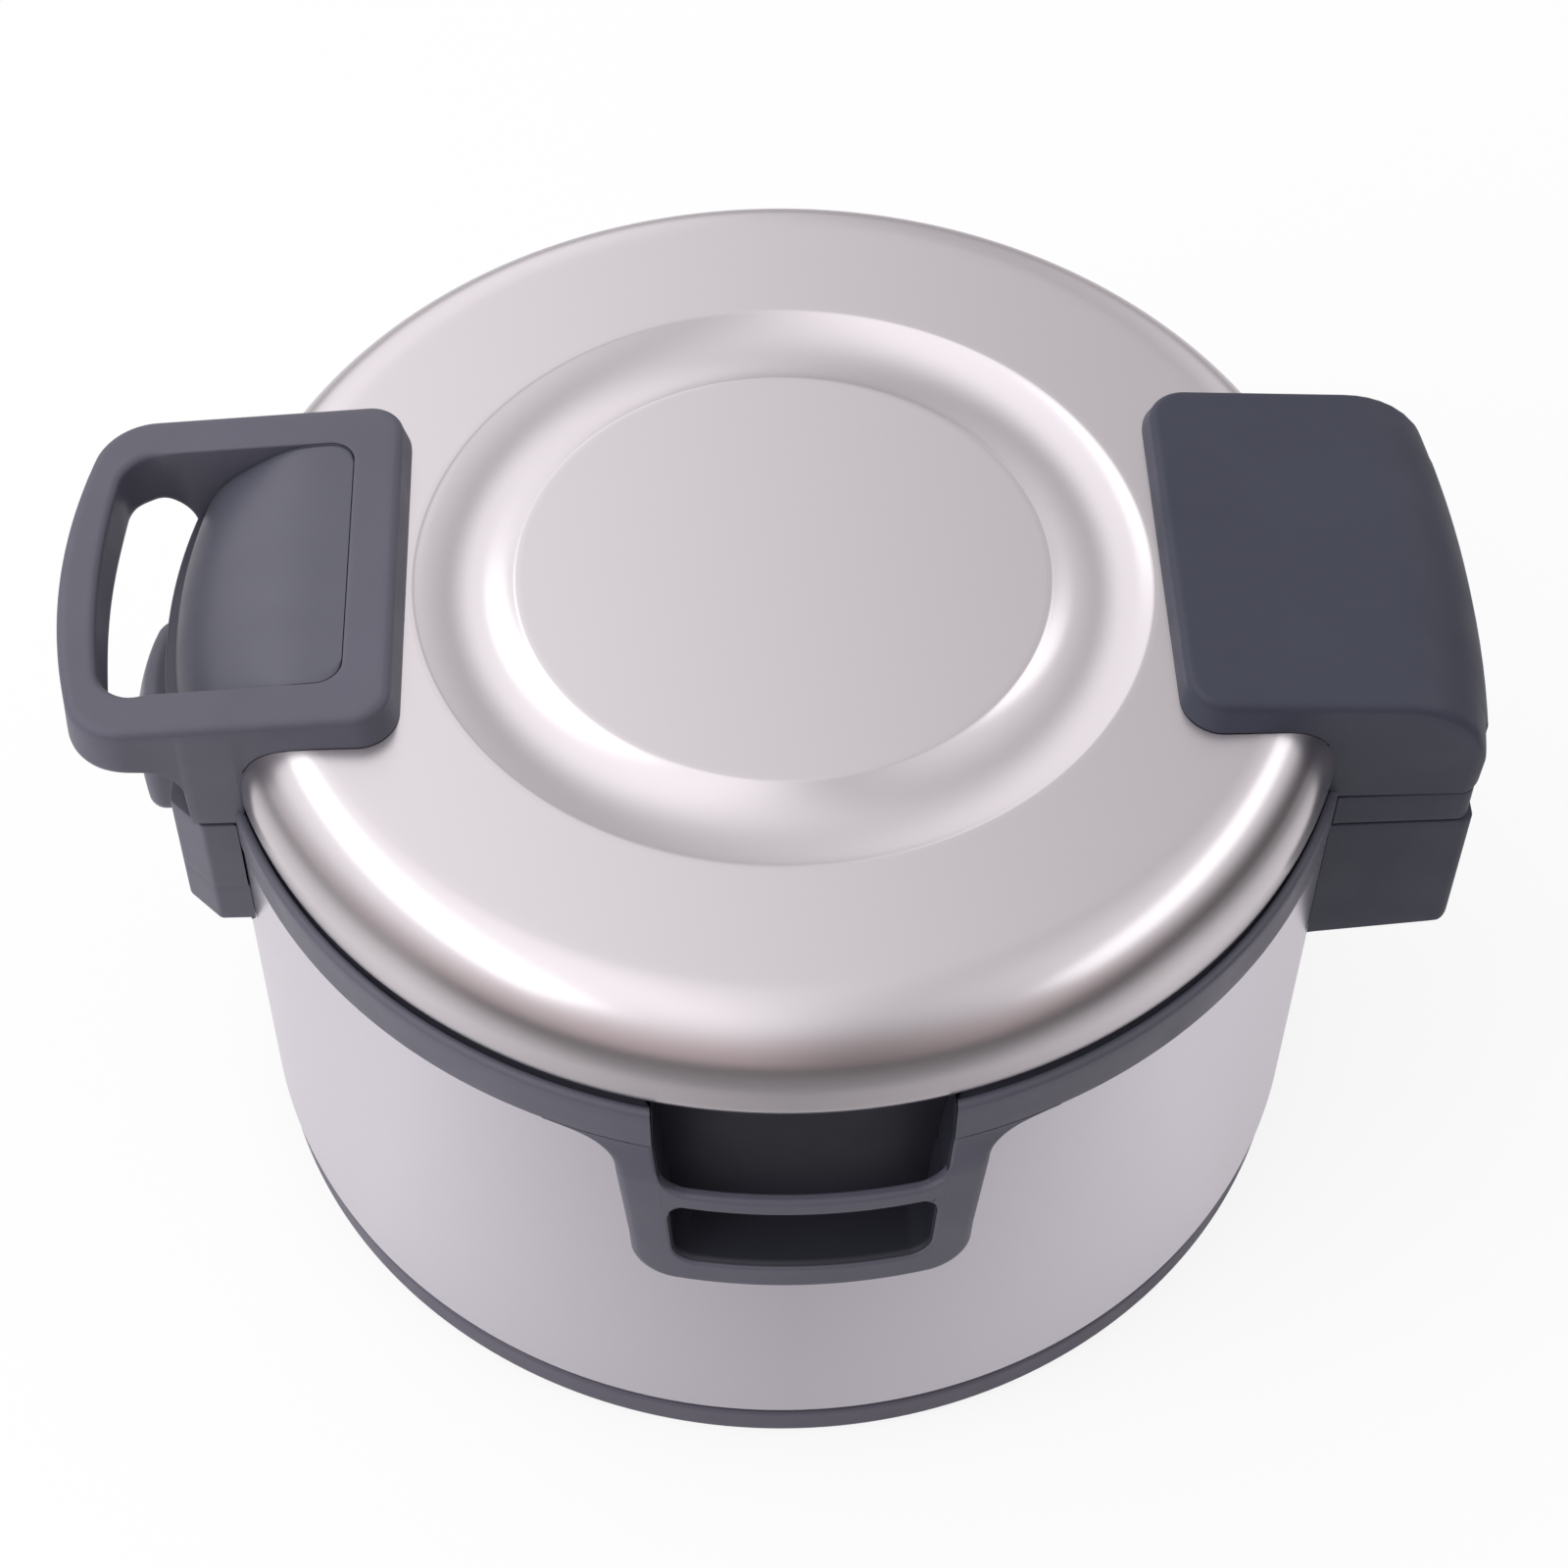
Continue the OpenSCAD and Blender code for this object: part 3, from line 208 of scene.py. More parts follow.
room = math_node(sky, "ADD", ramp(side_way, -0.20, 0.20, 1.15, 0.60), ramp(side_way, 0.15, 0.65, 0.0, 0.28))
toward = math_node(sky, "MULTIPLY_ADD", back_way, 0.6, up_way)
low_right = math_node(sky, "MULTIPLY_ADD", up_way, -0.8, side_way)
low_left = math_node(sky, "MULTIPLY_ADD", up_way, -0.8, math_node(sky, "MULTIPLY", side_way, -1.0))
for shade in (ramp(toward, -0.5, 0.68, 0.47, 1.0), ramp(up_way, 0.68, 0.98, 1.0, 1.17),
              ramp(low_right, 0.42, 0.92, 1.0, 0.16), ramp(low_left, 0.42, 0.95, 1.0, 0.74)):
    room = math_node(sky, "MULTIPLY", room, shade)
lens_ray = add(sky, "ShaderNodeLightPath").outputs["Is Camera Ray"]
shown = add(sky, "ShaderNodeMix", data_type="FLOAT", s3=1.0)
join(sky, lens_ray, shown.inputs[0])
join(sky, room, shown.inputs[2])
join(sky, shown.outputs[0], sky.nodes["Background"].inputs[1])
tint = add(sky, "ShaderNodeMix", data_type="RGBA", s6=(1.0, 0.83, 0.83, 1), s7=(1.0, 0.96, 0.99, 1))
join(sky, ramp(toward, -0.4, 0.4, 0.0, 1.0), tint.inputs[0])
plain = add(sky, "ShaderNodeMix", data_type="RGBA", s7=(1, 1, 1, 1))
join(sky, lens_ray, plain.inputs[0])
join(sky, tint.outputs[2], plain.inputs[6])
join(sky, plain.outputs[2], sky.nodes["Background"].inputs[0])


def soft_box(name, place, aim, size, power, mirrored=True):
    """A lamp at place whose face looks at aim; size is its length along Y and its width across."""
    lamp = bpy.data.lights.new(name, "AREA")
    lamp.shape = "RECTANGLE"
    lamp.size, lamp.size_y = size
    lamp.energy = power
    box = bpy.data.objects.new(name, lamp)
    look = Vector(aim) - Vector(place)
    box.matrix_world = Matrix.Translation(place) @ look.to_track_quat("-Z", "Y").to_matrix().to_4x4()
    box.visible_glossy = mirrored
    scene.collection.objects.link(box)
    print(name, "at", place, "watts", power)


soft_box("left_box", (-1.22, 0.1, 1.71), (0, 0.1, 0.25), (3.0, 0.74), 6.5)
soft_box("right_box", (1.44, -0.1, 1.48), (0, -0.1, 0.25), (2.4, 0.55), 3.4)
soft_box("fill", (-2.4, -1.1, 1.1), (0, 0, 0.1), (2.0, 2.0), 36, mirrored=False)

# %% [markdown]
# ## Effects that several finishes share
# Brushed sheet, moulded plastic and the faint marks of use turn up on many pieces, so each is a
# node group built once. A group only puts out shades, roughness and heights that change over the
# surface; the shader itself stays in the material.

# %% Shared node groups
def group(name, inputs, outputs):
    """An empty shader node group with named float inputs (and a Vector) and named float outputs."""
    tree = bpy.data.node_groups.new(name, "ShaderNodeTree")
    tree.interface.new_socket("Vector", in_out="INPUT", socket_type="NodeSocketVector")
    for label, value in inputs.items():
        tree.interface.new_socket(label, in_out="INPUT", socket_type="NodeSocketFloat").default_value = value
    for label in outputs:
        tree.interface.new_socket(label, in_out="OUTPUT", socket_type="NodeSocketFloat")
    return tree, add(tree, "NodeGroupInput"), add(tree, "NodeGroupOutput")


def noise(tree, vector, scale, detail=2.0, roughness=0.5):
    """A noise value from 0 to 1 read at a vector socket."""
    node = add(tree, "ShaderNodeTexNoise")
    node.inputs["Scale"].default_value = scale
    node.inputs["Detail"].default_value = detail
    node.inputs["Roughness"].default_value = roughness
    join(tree, vector, node.inputs["Vector"])
    return node.outputs[0]


def spread(tree, value, low, high):
    """Carries the middle of a noise value to low .. high."""
    node = add(tree, "ShaderNodeMapRange", s1=0.3, s2=0.7, s3=low, s4=high)
    join(tree, value, node.inputs[0])
    return node.outputs[0]


def brushed_grain():
    """Hair lines of brushed sheet: noise read on a vector that the material has stretched along the grain."""
    tree, given, out = group("brushed_grain", {"Depth": 1.0}, ["Shade", "Roughness", "Height"])
    fine = noise(tree, given.outputs["Vector"], 1.0, 3.0, 0.6)
    coarse = noise(tree, given.outputs["Vector"], 0.22, 2.0)
    both = math_node(tree, "MULTIPLY_ADD", coarse, 0.5, math_node(tree, "MULTIPLY", fine, 0.5))
    lift = math_node(tree, "MULTIPLY", math_node(tree, "SUBTRACT", both, 0.5), given.outputs["Depth"])
    join(tree, math_node(tree, "MULTIPLY_ADD", lift, 0.05, 1.0), out.inputs["Shade"])
    join(tree, math_node(tree, "MULTIPLY", lift, 0.10), out.inputs["Roughness"])
    join(tree, both, out.inputs["Height"])
    return tree


def moulded_skin():
    """Spark-eroded skin of a moulding: fine pits, slow drift of tone and of gloss."""
    tree, given, out = group("moulded_skin", {"Pit Scale": 2200.0}, ["Shade", "Roughness", "Height"])
    pits = add(tree, "ShaderNodeTexNoise")
    pits.inputs["Detail"].default_value = 2.0
    join(tree, given.outputs["Vector"], pits.inputs["Vector"])
    join(tree, given.outputs["Pit Scale"], pits.inputs["Scale"])
    drift = noise(tree, given.outputs["Vector"], 14.0, 3.0)
    flow = noise(tree, given.outputs["Vector"], 45.0, 2.0)
    tone = math_node(tree, "MULTIPLY_ADD", spread(tree, pits.outputs[0], -1, 1), 0.035,
                     spread(tree, drift, 0.94, 1.06))
    join(tree, tone, out.inputs["Shade"])
    join(tree, spread(tree, flow, -0.05, 0.05), out.inputs["Roughness"])
    join(tree, pits.outputs[0], out.inputs["Height"])
    return tree


def soft_marks():
    """Marks of wiping and handling: long soft smears and a few small specks, from 0 to 1."""
    tree, given, out = group("soft_marks", {"Amount": 1.0}, ["Mask"])
    smear = spread(tree, noise(tree, given.outputs["Vector"], 9.0, 4.0, 0.6), 0.0, 1.0)
    speck = add(tree, "ShaderNodeMapRange", s1=0.70, s2=0.76, s3=0.0, s4=1.0)
    join(tree, noise(tree, given.outputs["Vector"], 260.0, 1.0), speck.inputs[0])
    worn = math_node(tree, "MULTIPLY_ADD", speck.outputs[0], 0.35, smear)
    join(tree, math_node(tree, "MULTIPLY", worn, given.outputs["Amount"]), out.inputs["Mask"])
    return tree


GRAIN, SKIN, MARKS = brushed_grain(), moulded_skin(), soft_marks()
print("groups:", [g.name for g in (GRAIN, SKIN, MARKS)])

# %% [markdown]
# ## Steel
# The lid and the skin are thin stainless sheet with a fine even brush. A real brush leaves long
# scratches, so the noise is read on coordinates that are squeezed across the grain and stretched
# along it. On the body's shell the brush is too fine to be seen, so there it is left to the mirror image.
# The scratches also spread the mirrored light across the grain, so the shader is given a tangent
# across the brush and mirrors more sharply along it.

# %% Steel finishes
def use_group(tree, kind, vector, **values):
    """Places a shared group in a material and sets its inputs."""
    node = add(tree, "ShaderNodeGroup", node_tree=kind)
    join(tree, vector, node.inputs["Vector"])
    for label, value in values.items():
        node.inputs[label.replace("_", " ")].default_value = value
    return node.outputs


def tinted(tree, colour, shade):
    """A colour times a shade socket, kept as a colour."""
    node = add(tree, "ShaderNodeVectorMath", operation="SCALE")
    node.inputs[0].default_value = colour
    join(tree, shade, node.inputs["Scale"])
    return node.outputs[0]


def bump(tree, shader, height, strength, depth):
    """A Bump node of that depth in metres on the shader's normal."""
    node = add(tree, "ShaderNodeBump")
    node.inputs["Strength"].default_value = strength
    node.inputs["Distance"].default_value = depth
    join(tree, height, node.inputs["Height"])
    join(tree, node.outputs[0], shader.inputs["Normal"])


def stretched(tree, vector, scale):
    """Object coordinates through a Mapping node."""
    node = add(tree, "ShaderNodeMapping")
    node.inputs["Scale"].default_value = scale
    join(tree, vector, node.inputs["Vector"])
    return node.outputs[0]


def across_grain(tree, round_body):
    """Tangent across the brush: the Z axis on the body; on flat work the normal crossed with the grain."""
    axis = add(tree, "ShaderNodeVectorTransform", vector_type="VECTOR", convert_from="OBJECT", convert_to="WORLD")
    axis.inputs[0].default_value = (0, 0, 1) if round_body else (1, 0, 0)
    if round_body:
        return axis.outputs[0]
    cross = add(tree, "ShaderNodeVectorMath", operation="CROSS_PRODUCT")
    join(tree, add(tree, "ShaderNodeNewGeometry").outputs["Normal"], cross.inputs[0])
    join(tree, axis.outputs[0], cross.inputs[1])
    return cross.outputs[0]


def steel(name, colour, roughness, grain_scale=None, depth=1.0, spread_out=0.0):
    """Brushed sheet with hair lines along X, or without a grain scale a plain satin one that is brushed round
    the Z axis. spread_out is how much more the mirror image is blurred across the grain than along it."""
    material, tree, shader = blank_material(name)
    shader.inputs["Metallic"].default_value = 1.0
    if grain_scale:
        place = add(tree, "ShaderNodeTexCoord").outputs["Object"]
        grain = use_group(tree, GRAIN, stretched(tree, place, grain_scale), Depth=depth)
        marks = use_group(tree, MARKS, place, Amount=0.3)
        shade = math_node(tree, "MULTIPLY_ADD", marks["Mask"], -0.012, grain["Shade"])
        join(tree, tinted(tree, colour, shade), shader.inputs["Base Color"])
        rough = math_node(tree, "ADD", grain["Roughness"], roughness)
        join(tree, math_node(tree, "MULTIPLY_ADD", marks["Mask"], 0.015, rough), shader.inputs["Roughness"])
        bump(tree, shader, grain["Height"], 0.05 * depth, 0.00001)
    else:
        shader.inputs["Base Color"].default_value = (*colour, 1.0)
        shader.inputs["Roughness"].default_value = roughness
    if spread_out:
        shader.inputs["Anisotropic"].default_value = spread_out
        join(tree, across_grain(tree, grain_scale is None), shader.inputs["Tangent"])
    return material


lid_steel = steel("lid_steel", (0.70, 0.675, 0.69), 0.25, (14, 4200, 4200), depth=0.5, spread_out=0.6)
shell_steel = steel("shell_steel", (0.71, 0.695, 0.745), 0.27, spread_out=0.5)
plain_steel = steel("plain_steel", (0.55, 0.55, 0.55), 0.32, (60, 500, 500), depth=0.6)
bare_aluminium = steel("bare_aluminium", (0.72, 0.72, 0.73), 0.36, (70, 420, 420), depth=0.7)
heater_foil = steel("heater_foil", (0.72, 0.55, 0.30), 0.3, (120, 160, 160), depth=1.4)
contact_brass = steel("contact_brass", (0.78, 0.60, 0.28), 0.28, (200, 900, 900), depth=0.6)
print("steels:", lid_steel.name, shell_steel.name, plain_steel.name)

# %% [markdown]
# ## Plastics, rubber and the rest
# The grips and covers are a dark slate plastic with a fine eroded skin that catches a soft sheen.
# One function makes them all: the shared skin group shifts tone and gloss a little and pits the
# surface, and the marks group dulls the places that hands and cloths reach.

# %% Moulded finishes
def moulding(name, colour, roughness, pits=2200.0, pit_depth=0.00002, coat=0.0, specular=0.5):
    """Moulded plastic or rubber with an eroded skin and marks of handling."""
    material, tree, shader = blank_material(name)
    place = add(tree, "ShaderNodeTexCoord").outputs["Object"]
    skin = use_group(tree, SKIN, place, Pit_Scale=pits)
    marks = use_group(tree, MARKS, place, Amount=1.0)
    shade = math_node(tree, "MULTIPLY_ADD", marks["Mask"], 0.05, skin["Shade"])
    join(tree, tinted(tree, colour, shade), shader.inputs["Base Color"])
    rough = math_node(tree, "ADD", skin["Roughness"], roughness)
    join(tree, math_node(tree, "MULTIPLY_ADD", marks["Mask"], 0.05, rough), shader.inputs["Roughness"])
    shader.inputs["Coat Weight"].default_value = coat
    shader.inputs["Specular IOR Level"].default_value = specular
    bump(tree, shader, skin["Height"], 0.25, pit_depth)
    return material


grey_plastic = moulding("grey_plastic", (0.076, 0.078, 0.104), 0.44)
panel_plastic = moulding("panel_plastic", (0.073, 0.076, 0.100), 0.4)
hinge_plastic = moulding("hinge_plastic", (0.035, 0.040, 0.060), 0.5, specular=0.34)
rim_plastic = moulding("rim_plastic", (0.085, 0.086, 0.110), 0.42)
black_plastic = moulding("black_plastic", (0.017, 0.018, 0.028), 0.5)
base_plastic = moulding("base_plastic", (0.085, 0.083, 0.112), 0.5)
foot_rubber = moulding("foot_rubber", (0.012, 0.012, 0.012), 0.8, 1200.0, 0.00004)
seal_rubber = moulding("seal_rubber", (0.62, 0.61, 0.58), 0.6, 1500.0)
pot_coating = moulding("pot_coating", (0.035, 0.035, 0.037), 0.38, 900.0, 0.00003)
ceramic = moulding("ceramic", (0.74, 0.72, 0.64), 0.55, 1400.0)
wire = moulding("wire", (0.28, 0.02, 0.018), 0.45, 1800.0)
wool = moulding("wool", (0.62, 0.53, 0.30), 0.95, 420.0, 0.0006)
rocker_red = moulding("rocker_red", (0.30, 0.012, 0.01), 0.25, 2600.0, 0.00001, coat=0.3)
lens_amber = moulding("lens_amber", (0.75, 0.22, 0.03), 0.12, 2600.0, 0.000005, coat=0.5)
print("mouldings:", grey_plastic.name, "and", 13, "others")

# %% [markdown]
# ## From arrays to meshes
# All new pieces are skins worked out as arrays, in millimetres and in the frame's own place.
# A loft joins a stack of rings into one skin; outlines are straight runs with tangent arcs;
# an outline is made smaller by moving its points along their normals. These tools are
# enough for a lid that is spun, a cover that is pillowed and a grip that is a closed band.

# %% Lofts and outlines
def loft(rings, ends="poles", around=True):
    """Skin over a stack of rings (count, points, 3). Each ring is joined to the next one; the first
    and last are closed by a fan to their middle ("poles"), joined together ("loop") or left ("open")."""
    count, size = rings.shape[:2]
    grid = np.arange(count * size).reshape(count, size)
    if around:
        grid = np.concatenate([grid, grid[:, :1]], 1)
    if ends == "loop":
        grid = np.concatenate([grid, grid[:1]], 0)
    quads = np.stack([grid[:-1, :-1], grid[:-1, 1:], grid[1:, 1:], grid[1:, :-1]], -1).reshape(-1, 4)
    points, faces = rings.reshape(-1, 3), quads.tolist()
    if ends == "poles":
        middles = np.stack([rings[0].mean(0), rings[-1].mean(0)])
        for pole, row in enumerate((grid[0], grid[-1])):
            tip = np.full(len(row) - 1, len(points) + pole)
            faces += np.stack([row[:-1], row[1:], tip], -1).tolist()
        points = np.vstack([points, middles])
    return points, faces


def gather(*skins):
    """Several skins as one: their points stacked and their faces renumbered."""
    starts = np.cumsum([0] + [len(p) for p, _ in skins])
    faces = [[i + int(s) for i in f] for s, (_, fs) in zip(starts, skins) for f in fs]
    return np.vstack([p for p, _ in skins]), faces


def rounded(corners, arc=10, run=8, closed=True):
    """Path through corners (x, y, radius): straight runs, and at each corner the tangent arc."""
    corners = np.array(corners, float)
    spots, radii = corners[:, :2], corners[:, 2]
    back, on = np.roll(spots, 1, 0) - spots, np.roll(spots, -1, 0) - spots
    back /= np.linalg.norm(back, axis=1, keepdims=True)
    on /= np.linalg.norm(on, axis=1, keepdims=True)
    half = np.arccos(np.clip((back * on).sum(1), -1, 1)) / 2
    reach = (radii / np.tan(half))[:, None]
    middle = back + on
    middle /= np.maximum(np.linalg.norm(middle, axis=1, keepdims=True), 1e-9)
    centre = spots + middle * (radii / np.sin(half))[:, None]
    first, last = spots + back * reach, spots + on * reach
    path = []
    for k in range(len(spots)):
        bare = radii[k] < 1e-6 or (not closed and k in (0, len(spots) - 1))
        if bare:
            path.append(spots[k:k + 1])
        else:
            a, b = (np.arctan2(*(p[k] - centre[k])[::-1]) for p in (first, last))
            swing = (b - a + np.pi) % (2 * np.pi) - np.pi
            t = a + swing * np.linspace(0, 1, arc + 1)
            path.append(centre[k] + radii[k] * np.stack([np.cos(t), np.sin(t)], -1))
        if closed or k < len(spots) - 1:
            n = (k + 1) % len(spots)
            bare_next = radii[n] < 1e-6 or (not closed and n in (0, len(spots) - 1))
            start, stop = path[-1][-1], spots[n] if bare_next else first[n]
            path.append(start + (stop - start) * np.linspace(0, 1, run + 1)[1:-1, None])
    return np.vstack(path)


def inward(outline):
    """Unit normals of a closed outline, turned to its inside."""
    run = np.roll(outline, -1, 0) - np.roll(outline, 1, 0)
    run /= np.linalg.norm(run, axis=1, keepdims=True)
    area = (outline[:, 0] * np.roll(outline[:, 1], -1) - np.roll(outline[:, 0], -1) * outline[:, 1]).sum()
    return np.sign(area) * np.stack([-run[:, 1], run[:, 0]], -1)


def level(flat, height):
    """Plan points (..., 2) lifted by a height that is a number, an array or a function of x and y."""
    tall = height(flat[..., 0], flat[..., 1]) if callable(height) else height
    return np.concatenate([flat, np.broadcast_to(tall, flat.shape[:-1])[..., None]], -1)


def spin(profile, steps=288):
    """A profile of (radius, height) points turned once round the Z axis, as a stack of rings."""
    turn = np.linspace(0, 2 * np.pi, steps, endpoint=False)
    r, z = profile[:, :1], profile[:, 1:]
    return np.stack([r * np.cos(turn), r * np.sin(turn), z + 0 * turn], -1)


def swept(section, angle):
    """A closed section (radius, height) carried round the Z axis through rows of angles, its ends closed."""
    r, z = section[:, 0], section[:, 1]
    points, faces = loft(np.stack([r * np.cos(angle), r * np.sin(angle), z + 0 * angle], -1), ends="open")
    size = len(section)
    return points, faces + [list(range(size)), list(range(len(points) - size, len(points)))]


print("tools: loft, gather, rounded, inward, level, spin, swept")

# %% Pillows, bands and finished pieces
def pillow(outline, top, bottom, top_edge, low_edge, centre=None, cap=16, wall=6, bend=6, foot=None,
           low_centre=None):
    """A closed block over an outline. From the middle of its top the rings grow to the outline less the
    edge radius, roll over a quarter circle, run down the wall, roll under and shrink to the middle again.
    top and bottom are heights (numbers or functions of x and y); the edges are their rounding radii;
    foot is the outline at the bottom, if the wall leans; low_centre holds the points to which the rings
    below shrink."""
    centre = outline.mean(0) if centre is None else np.array(centre, float)
    foot = outline if foot is None else foot
    share = np.linspace(0.02, 1, cap)[:, None, None]
    angle = np.linspace(0, np.pi / 2, bend + 1)[:, None]

    def side(path, height, edge, sign, middle):
        normal = inward(path)
        rim = path + normal * edge
        inner = level(middle + (rim - middle) * share, height)
        flat = path + normal * (edge * (1 - np.sin(angle)))[..., None]
        roll = level(flat, height)
        roll[..., 2] -= sign * edge * (1 - np.cos(angle))
        return np.concatenate([inner[:-1], roll])

    upper = side(outline, top, top_edge, 1, centre)
    lower = side(foot, bottom, low_edge, -1, centre if low_centre is None else low_centre)
    down = np.linspace(0, 1, wall + 1)[1:-1, None, None]
    between = upper[-1] + (lower[-1] - upper[-1]) * down
    return loft(np.concatenate([upper, between, lower[::-1]]))


def band(outer, inner, top, bottom, edges, across=8, wall=6, bend=5):
    """A closed frame between matching outlines; outer and inner are each a pair, at the top and at the foot.
    Round each station runs one rounded section: up the outer wall, over its top edge, across, down the
    inner wall and back underneath. edges holds the radii (outer top, inner top, inner low, outer low),
    as numbers or one per station."""
    edges = [np.broadcast_to(np.asarray(e, float), (len(outer[0]),))[:, None] for e in edges]
    angle = np.linspace(0, np.pi / 2, bend + 1)

    def roll(path, normal, edge, height, sign, rising):
        a = angle if rising else angle[::-1]
        flat = path[:, None] + normal[:, None] * (edge * (1 - np.cos(a)))[..., None]
        spot = level(flat, height)
        spot[..., 2] -= sign * edge * (1 - np.sin(a))
        return spot

    def run(a, b, steps, height=None):
        t = np.linspace(0, 1, steps + 1)[1:-1, None]
        spot = a[:, None] + (b - a)[:, None] * t
        return spot if height is None else level(spot[..., :2], height)

    crown_o = roll(outer[0], inward(outer[0]), edges[0], top, 1, True)
    crown_i = roll(inner[0], -inward(inner[0]), edges[1], top, 1, False)
    keel_i = roll(inner[1], -inward(inner[1]), edges[2], bottom, -1, True)
    keel_o = roll(outer[1], inward(outer[1]), edges[3], bottom, -1, False)
    section = np.concatenate([
        crown_o, run(crown_o[:, -1], crown_i[:, 0], across, top), crown_i, run(crown_i[:, -1], keel_i[:, 0], wall),
        keel_i, run(keel_i[:, -1], keel_o[:, 0], across, bottom), keel_o,
        run(keel_o[:, -1], crown_o[:, 0], wall)], 1)
    return loft(section, ends="loop")


def finished(name, skin, material, body, nodes, mirror=False, sharp=38):
    """Puts a skin (millimetres) into a mesh at the origin, turns its faces outwards, shades it smooth
    except at edges sharper than the given angle, and hands it to a body in place of the named solids."""
    points, faces = skin
    points = np.asarray(points) * (np.array([-1, 1, 1]) if mirror else 1) / 1000
    mesh = bpy.data.meshes.new(name)
    mesh.from_pydata(points.tolist(), [], faces)
    work = bmesh.new()
    work.from_mesh(mesh)
    bmesh.ops.remove_doubles(work, verts=work.verts, dist=2e-6)
    bmesh.ops.dissolve_degenerate(work, edges=work.edges, dist=1e-6)
    bmesh.ops.recalc_face_normals(work, faces=work.faces)
    work.to_mesh(mesh)
    work.free()
    mesh.shade_smooth()
    mesh.set_sharp_from_angle(angle=math.radians(sharp))
    mesh.materials.append(material)
    piece = bpy.data.objects.new(name, mesh)
    scene.collection.objects.link(piece)
    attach(piece, body)
    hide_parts(*nodes)
    low, high = points.min(0) * 1000, points.max(0) * 1000
    print(f"{name}: {len(mesh.polygons)} faces, from {np.round(low, 1)} to {np.round(high, 1)} mm")
    return piece


print("tools: pillow, band, finished")

# %% [markdown]
# ## The lid
# The lid is one pressed sheet: a flat disc in the middle, a shallow ring groove with crisp edges,
# a flat margin, a broad shoulder and a short skirt. A lathe profile spun round the axis is how such
# a lid is described on a drawing, so the skin is spun here too, with the sheet's own thickness and a
# turned-under lower edge. Small fillets keep the groove's edges crisp but able to catch light.

# %% Lid profile and skin
lid_r, lid_low, lid_top, shoulder, sheet = 200.0, 219.0, 255.3, 26.0, 1.2
disc_r, groove_w, groove_d = 93.5, 35.0, 4.6


def blended(r, edge, width):
    """Smooth step from 0 to 1 over width round edge, by a cubic."""
    t = np.clip((r - edge) / width + 0.5, 0, 1)
    return t * t * (3 - 2 * t)


def lid_height(r, lift=0.0):
    """Height of the lid's outer skin at radius r, lifted along the shoulder's normal by lift:
    flat top, a circular groove between its two edges, then the shoulder's quarter circle."""
    r = np.asarray(r, float)
    arc_r = (groove_w ** 2 / 4 + groove_d ** 2) / (2 * groove_d)
    off = np.abs(r - disc_r - groove_w / 2)
    depth = np.sqrt(np.maximum(arc_r ** 2 - off ** 2, 0)) - (arc_r - groove_d)
    soft = 0.5 * (depth + np.sqrt(depth ** 2 + 0.05)) - 0.5 * np.sqrt(0.05) * (depth < -1)
    groove = np.where(off < groove_w / 2 + 3, np.maximum(soft, 0), 0)
    out = np.clip(r - (lid_r - shoulder), 0, shoulder + lift)
    fall = (shoulder + lift) - np.sqrt(np.maximum((shoulder + lift) ** 2 - out ** 2, 0))
    return lid_top + lift - groove - fall


def lid_cover():
    """Spun skin: the outer profile from the middle to the skirt, the turned edge, and the inner one back."""
    flat = np.concatenate([np.linspace(0.6, 90, 10), np.linspace(91, 97, 25)[:-1], np.linspace(97, 125, 29)[:-1],
                           np.linspace(125, 132, 27)[:-1], np.linspace(132, 174, 10)])
    top = np.stack([flat, lid_height(flat)], -1)
    a = np.linspace(0, np.pi / 2, 29)[1:]
    turn = np.stack([lid_r - shoulder + shoulder * np.sin(a), lid_top - shoulder + shoulder * np.cos(a)], -1)
    hem, hem_r = np.linspace(0, np.pi, 9), sheet / 2
    edge = np.stack([lid_r - hem_r + hem_r * np.cos(hem), lid_low + hem_r - hem_r * np.sin(hem)], -1)
    skirt = np.stack([np.full(4, lid_r), np.linspace(lid_top - shoulder, lid_low + hem_r, 6)[1:-1]], -1)
    inner_turn = turn[::-1] + (np.array([lid_r - shoulder, lid_top - shoulder]) - turn[::-1]) * sheet / shoulder
    inner_top = top[::-1] - np.array([0, sheet])
    return loft(spin(np.concatenate([top, turn, skirt, edge, inner_turn, inner_top]), 300))


finished("lid_skin", lid_cover(), lid_steel, "lid", ["lid_cover"], sharp=60)

# %% [markdown]
# ## The body
# The body's skin is one sheet rolled into a cylinder, with windows that hide behind the carry
# handles, the switch panel and the inlet. A grid over angle and height makes it: lines of the grid
# lie on the windows' edges, the cells inside a window are left out, and Solidify gives the sheet its wall.

# %% Shell skin
shell_r, shell_low, shell_top = 202.8, 21.0, 196.0
pocket_half, plate_half, mouth_half, guard_gap = 54.2, 23.0, 15.7, 0.3


def lines(low, high, stops, step):
    """Grid lines from low to high that pass exactly through the stops, about step apart."""
    marks = np.unique(np.concatenate([[low, high], stops]))
    gaps = zip(marks[:-1], marks[1:])
    parts = [np.linspace(a, b, max(2, int(np.ceil((b - a) / step)) + 1))[:-1] for a, b in gaps]
    return np.concatenate(parts + [[high]])


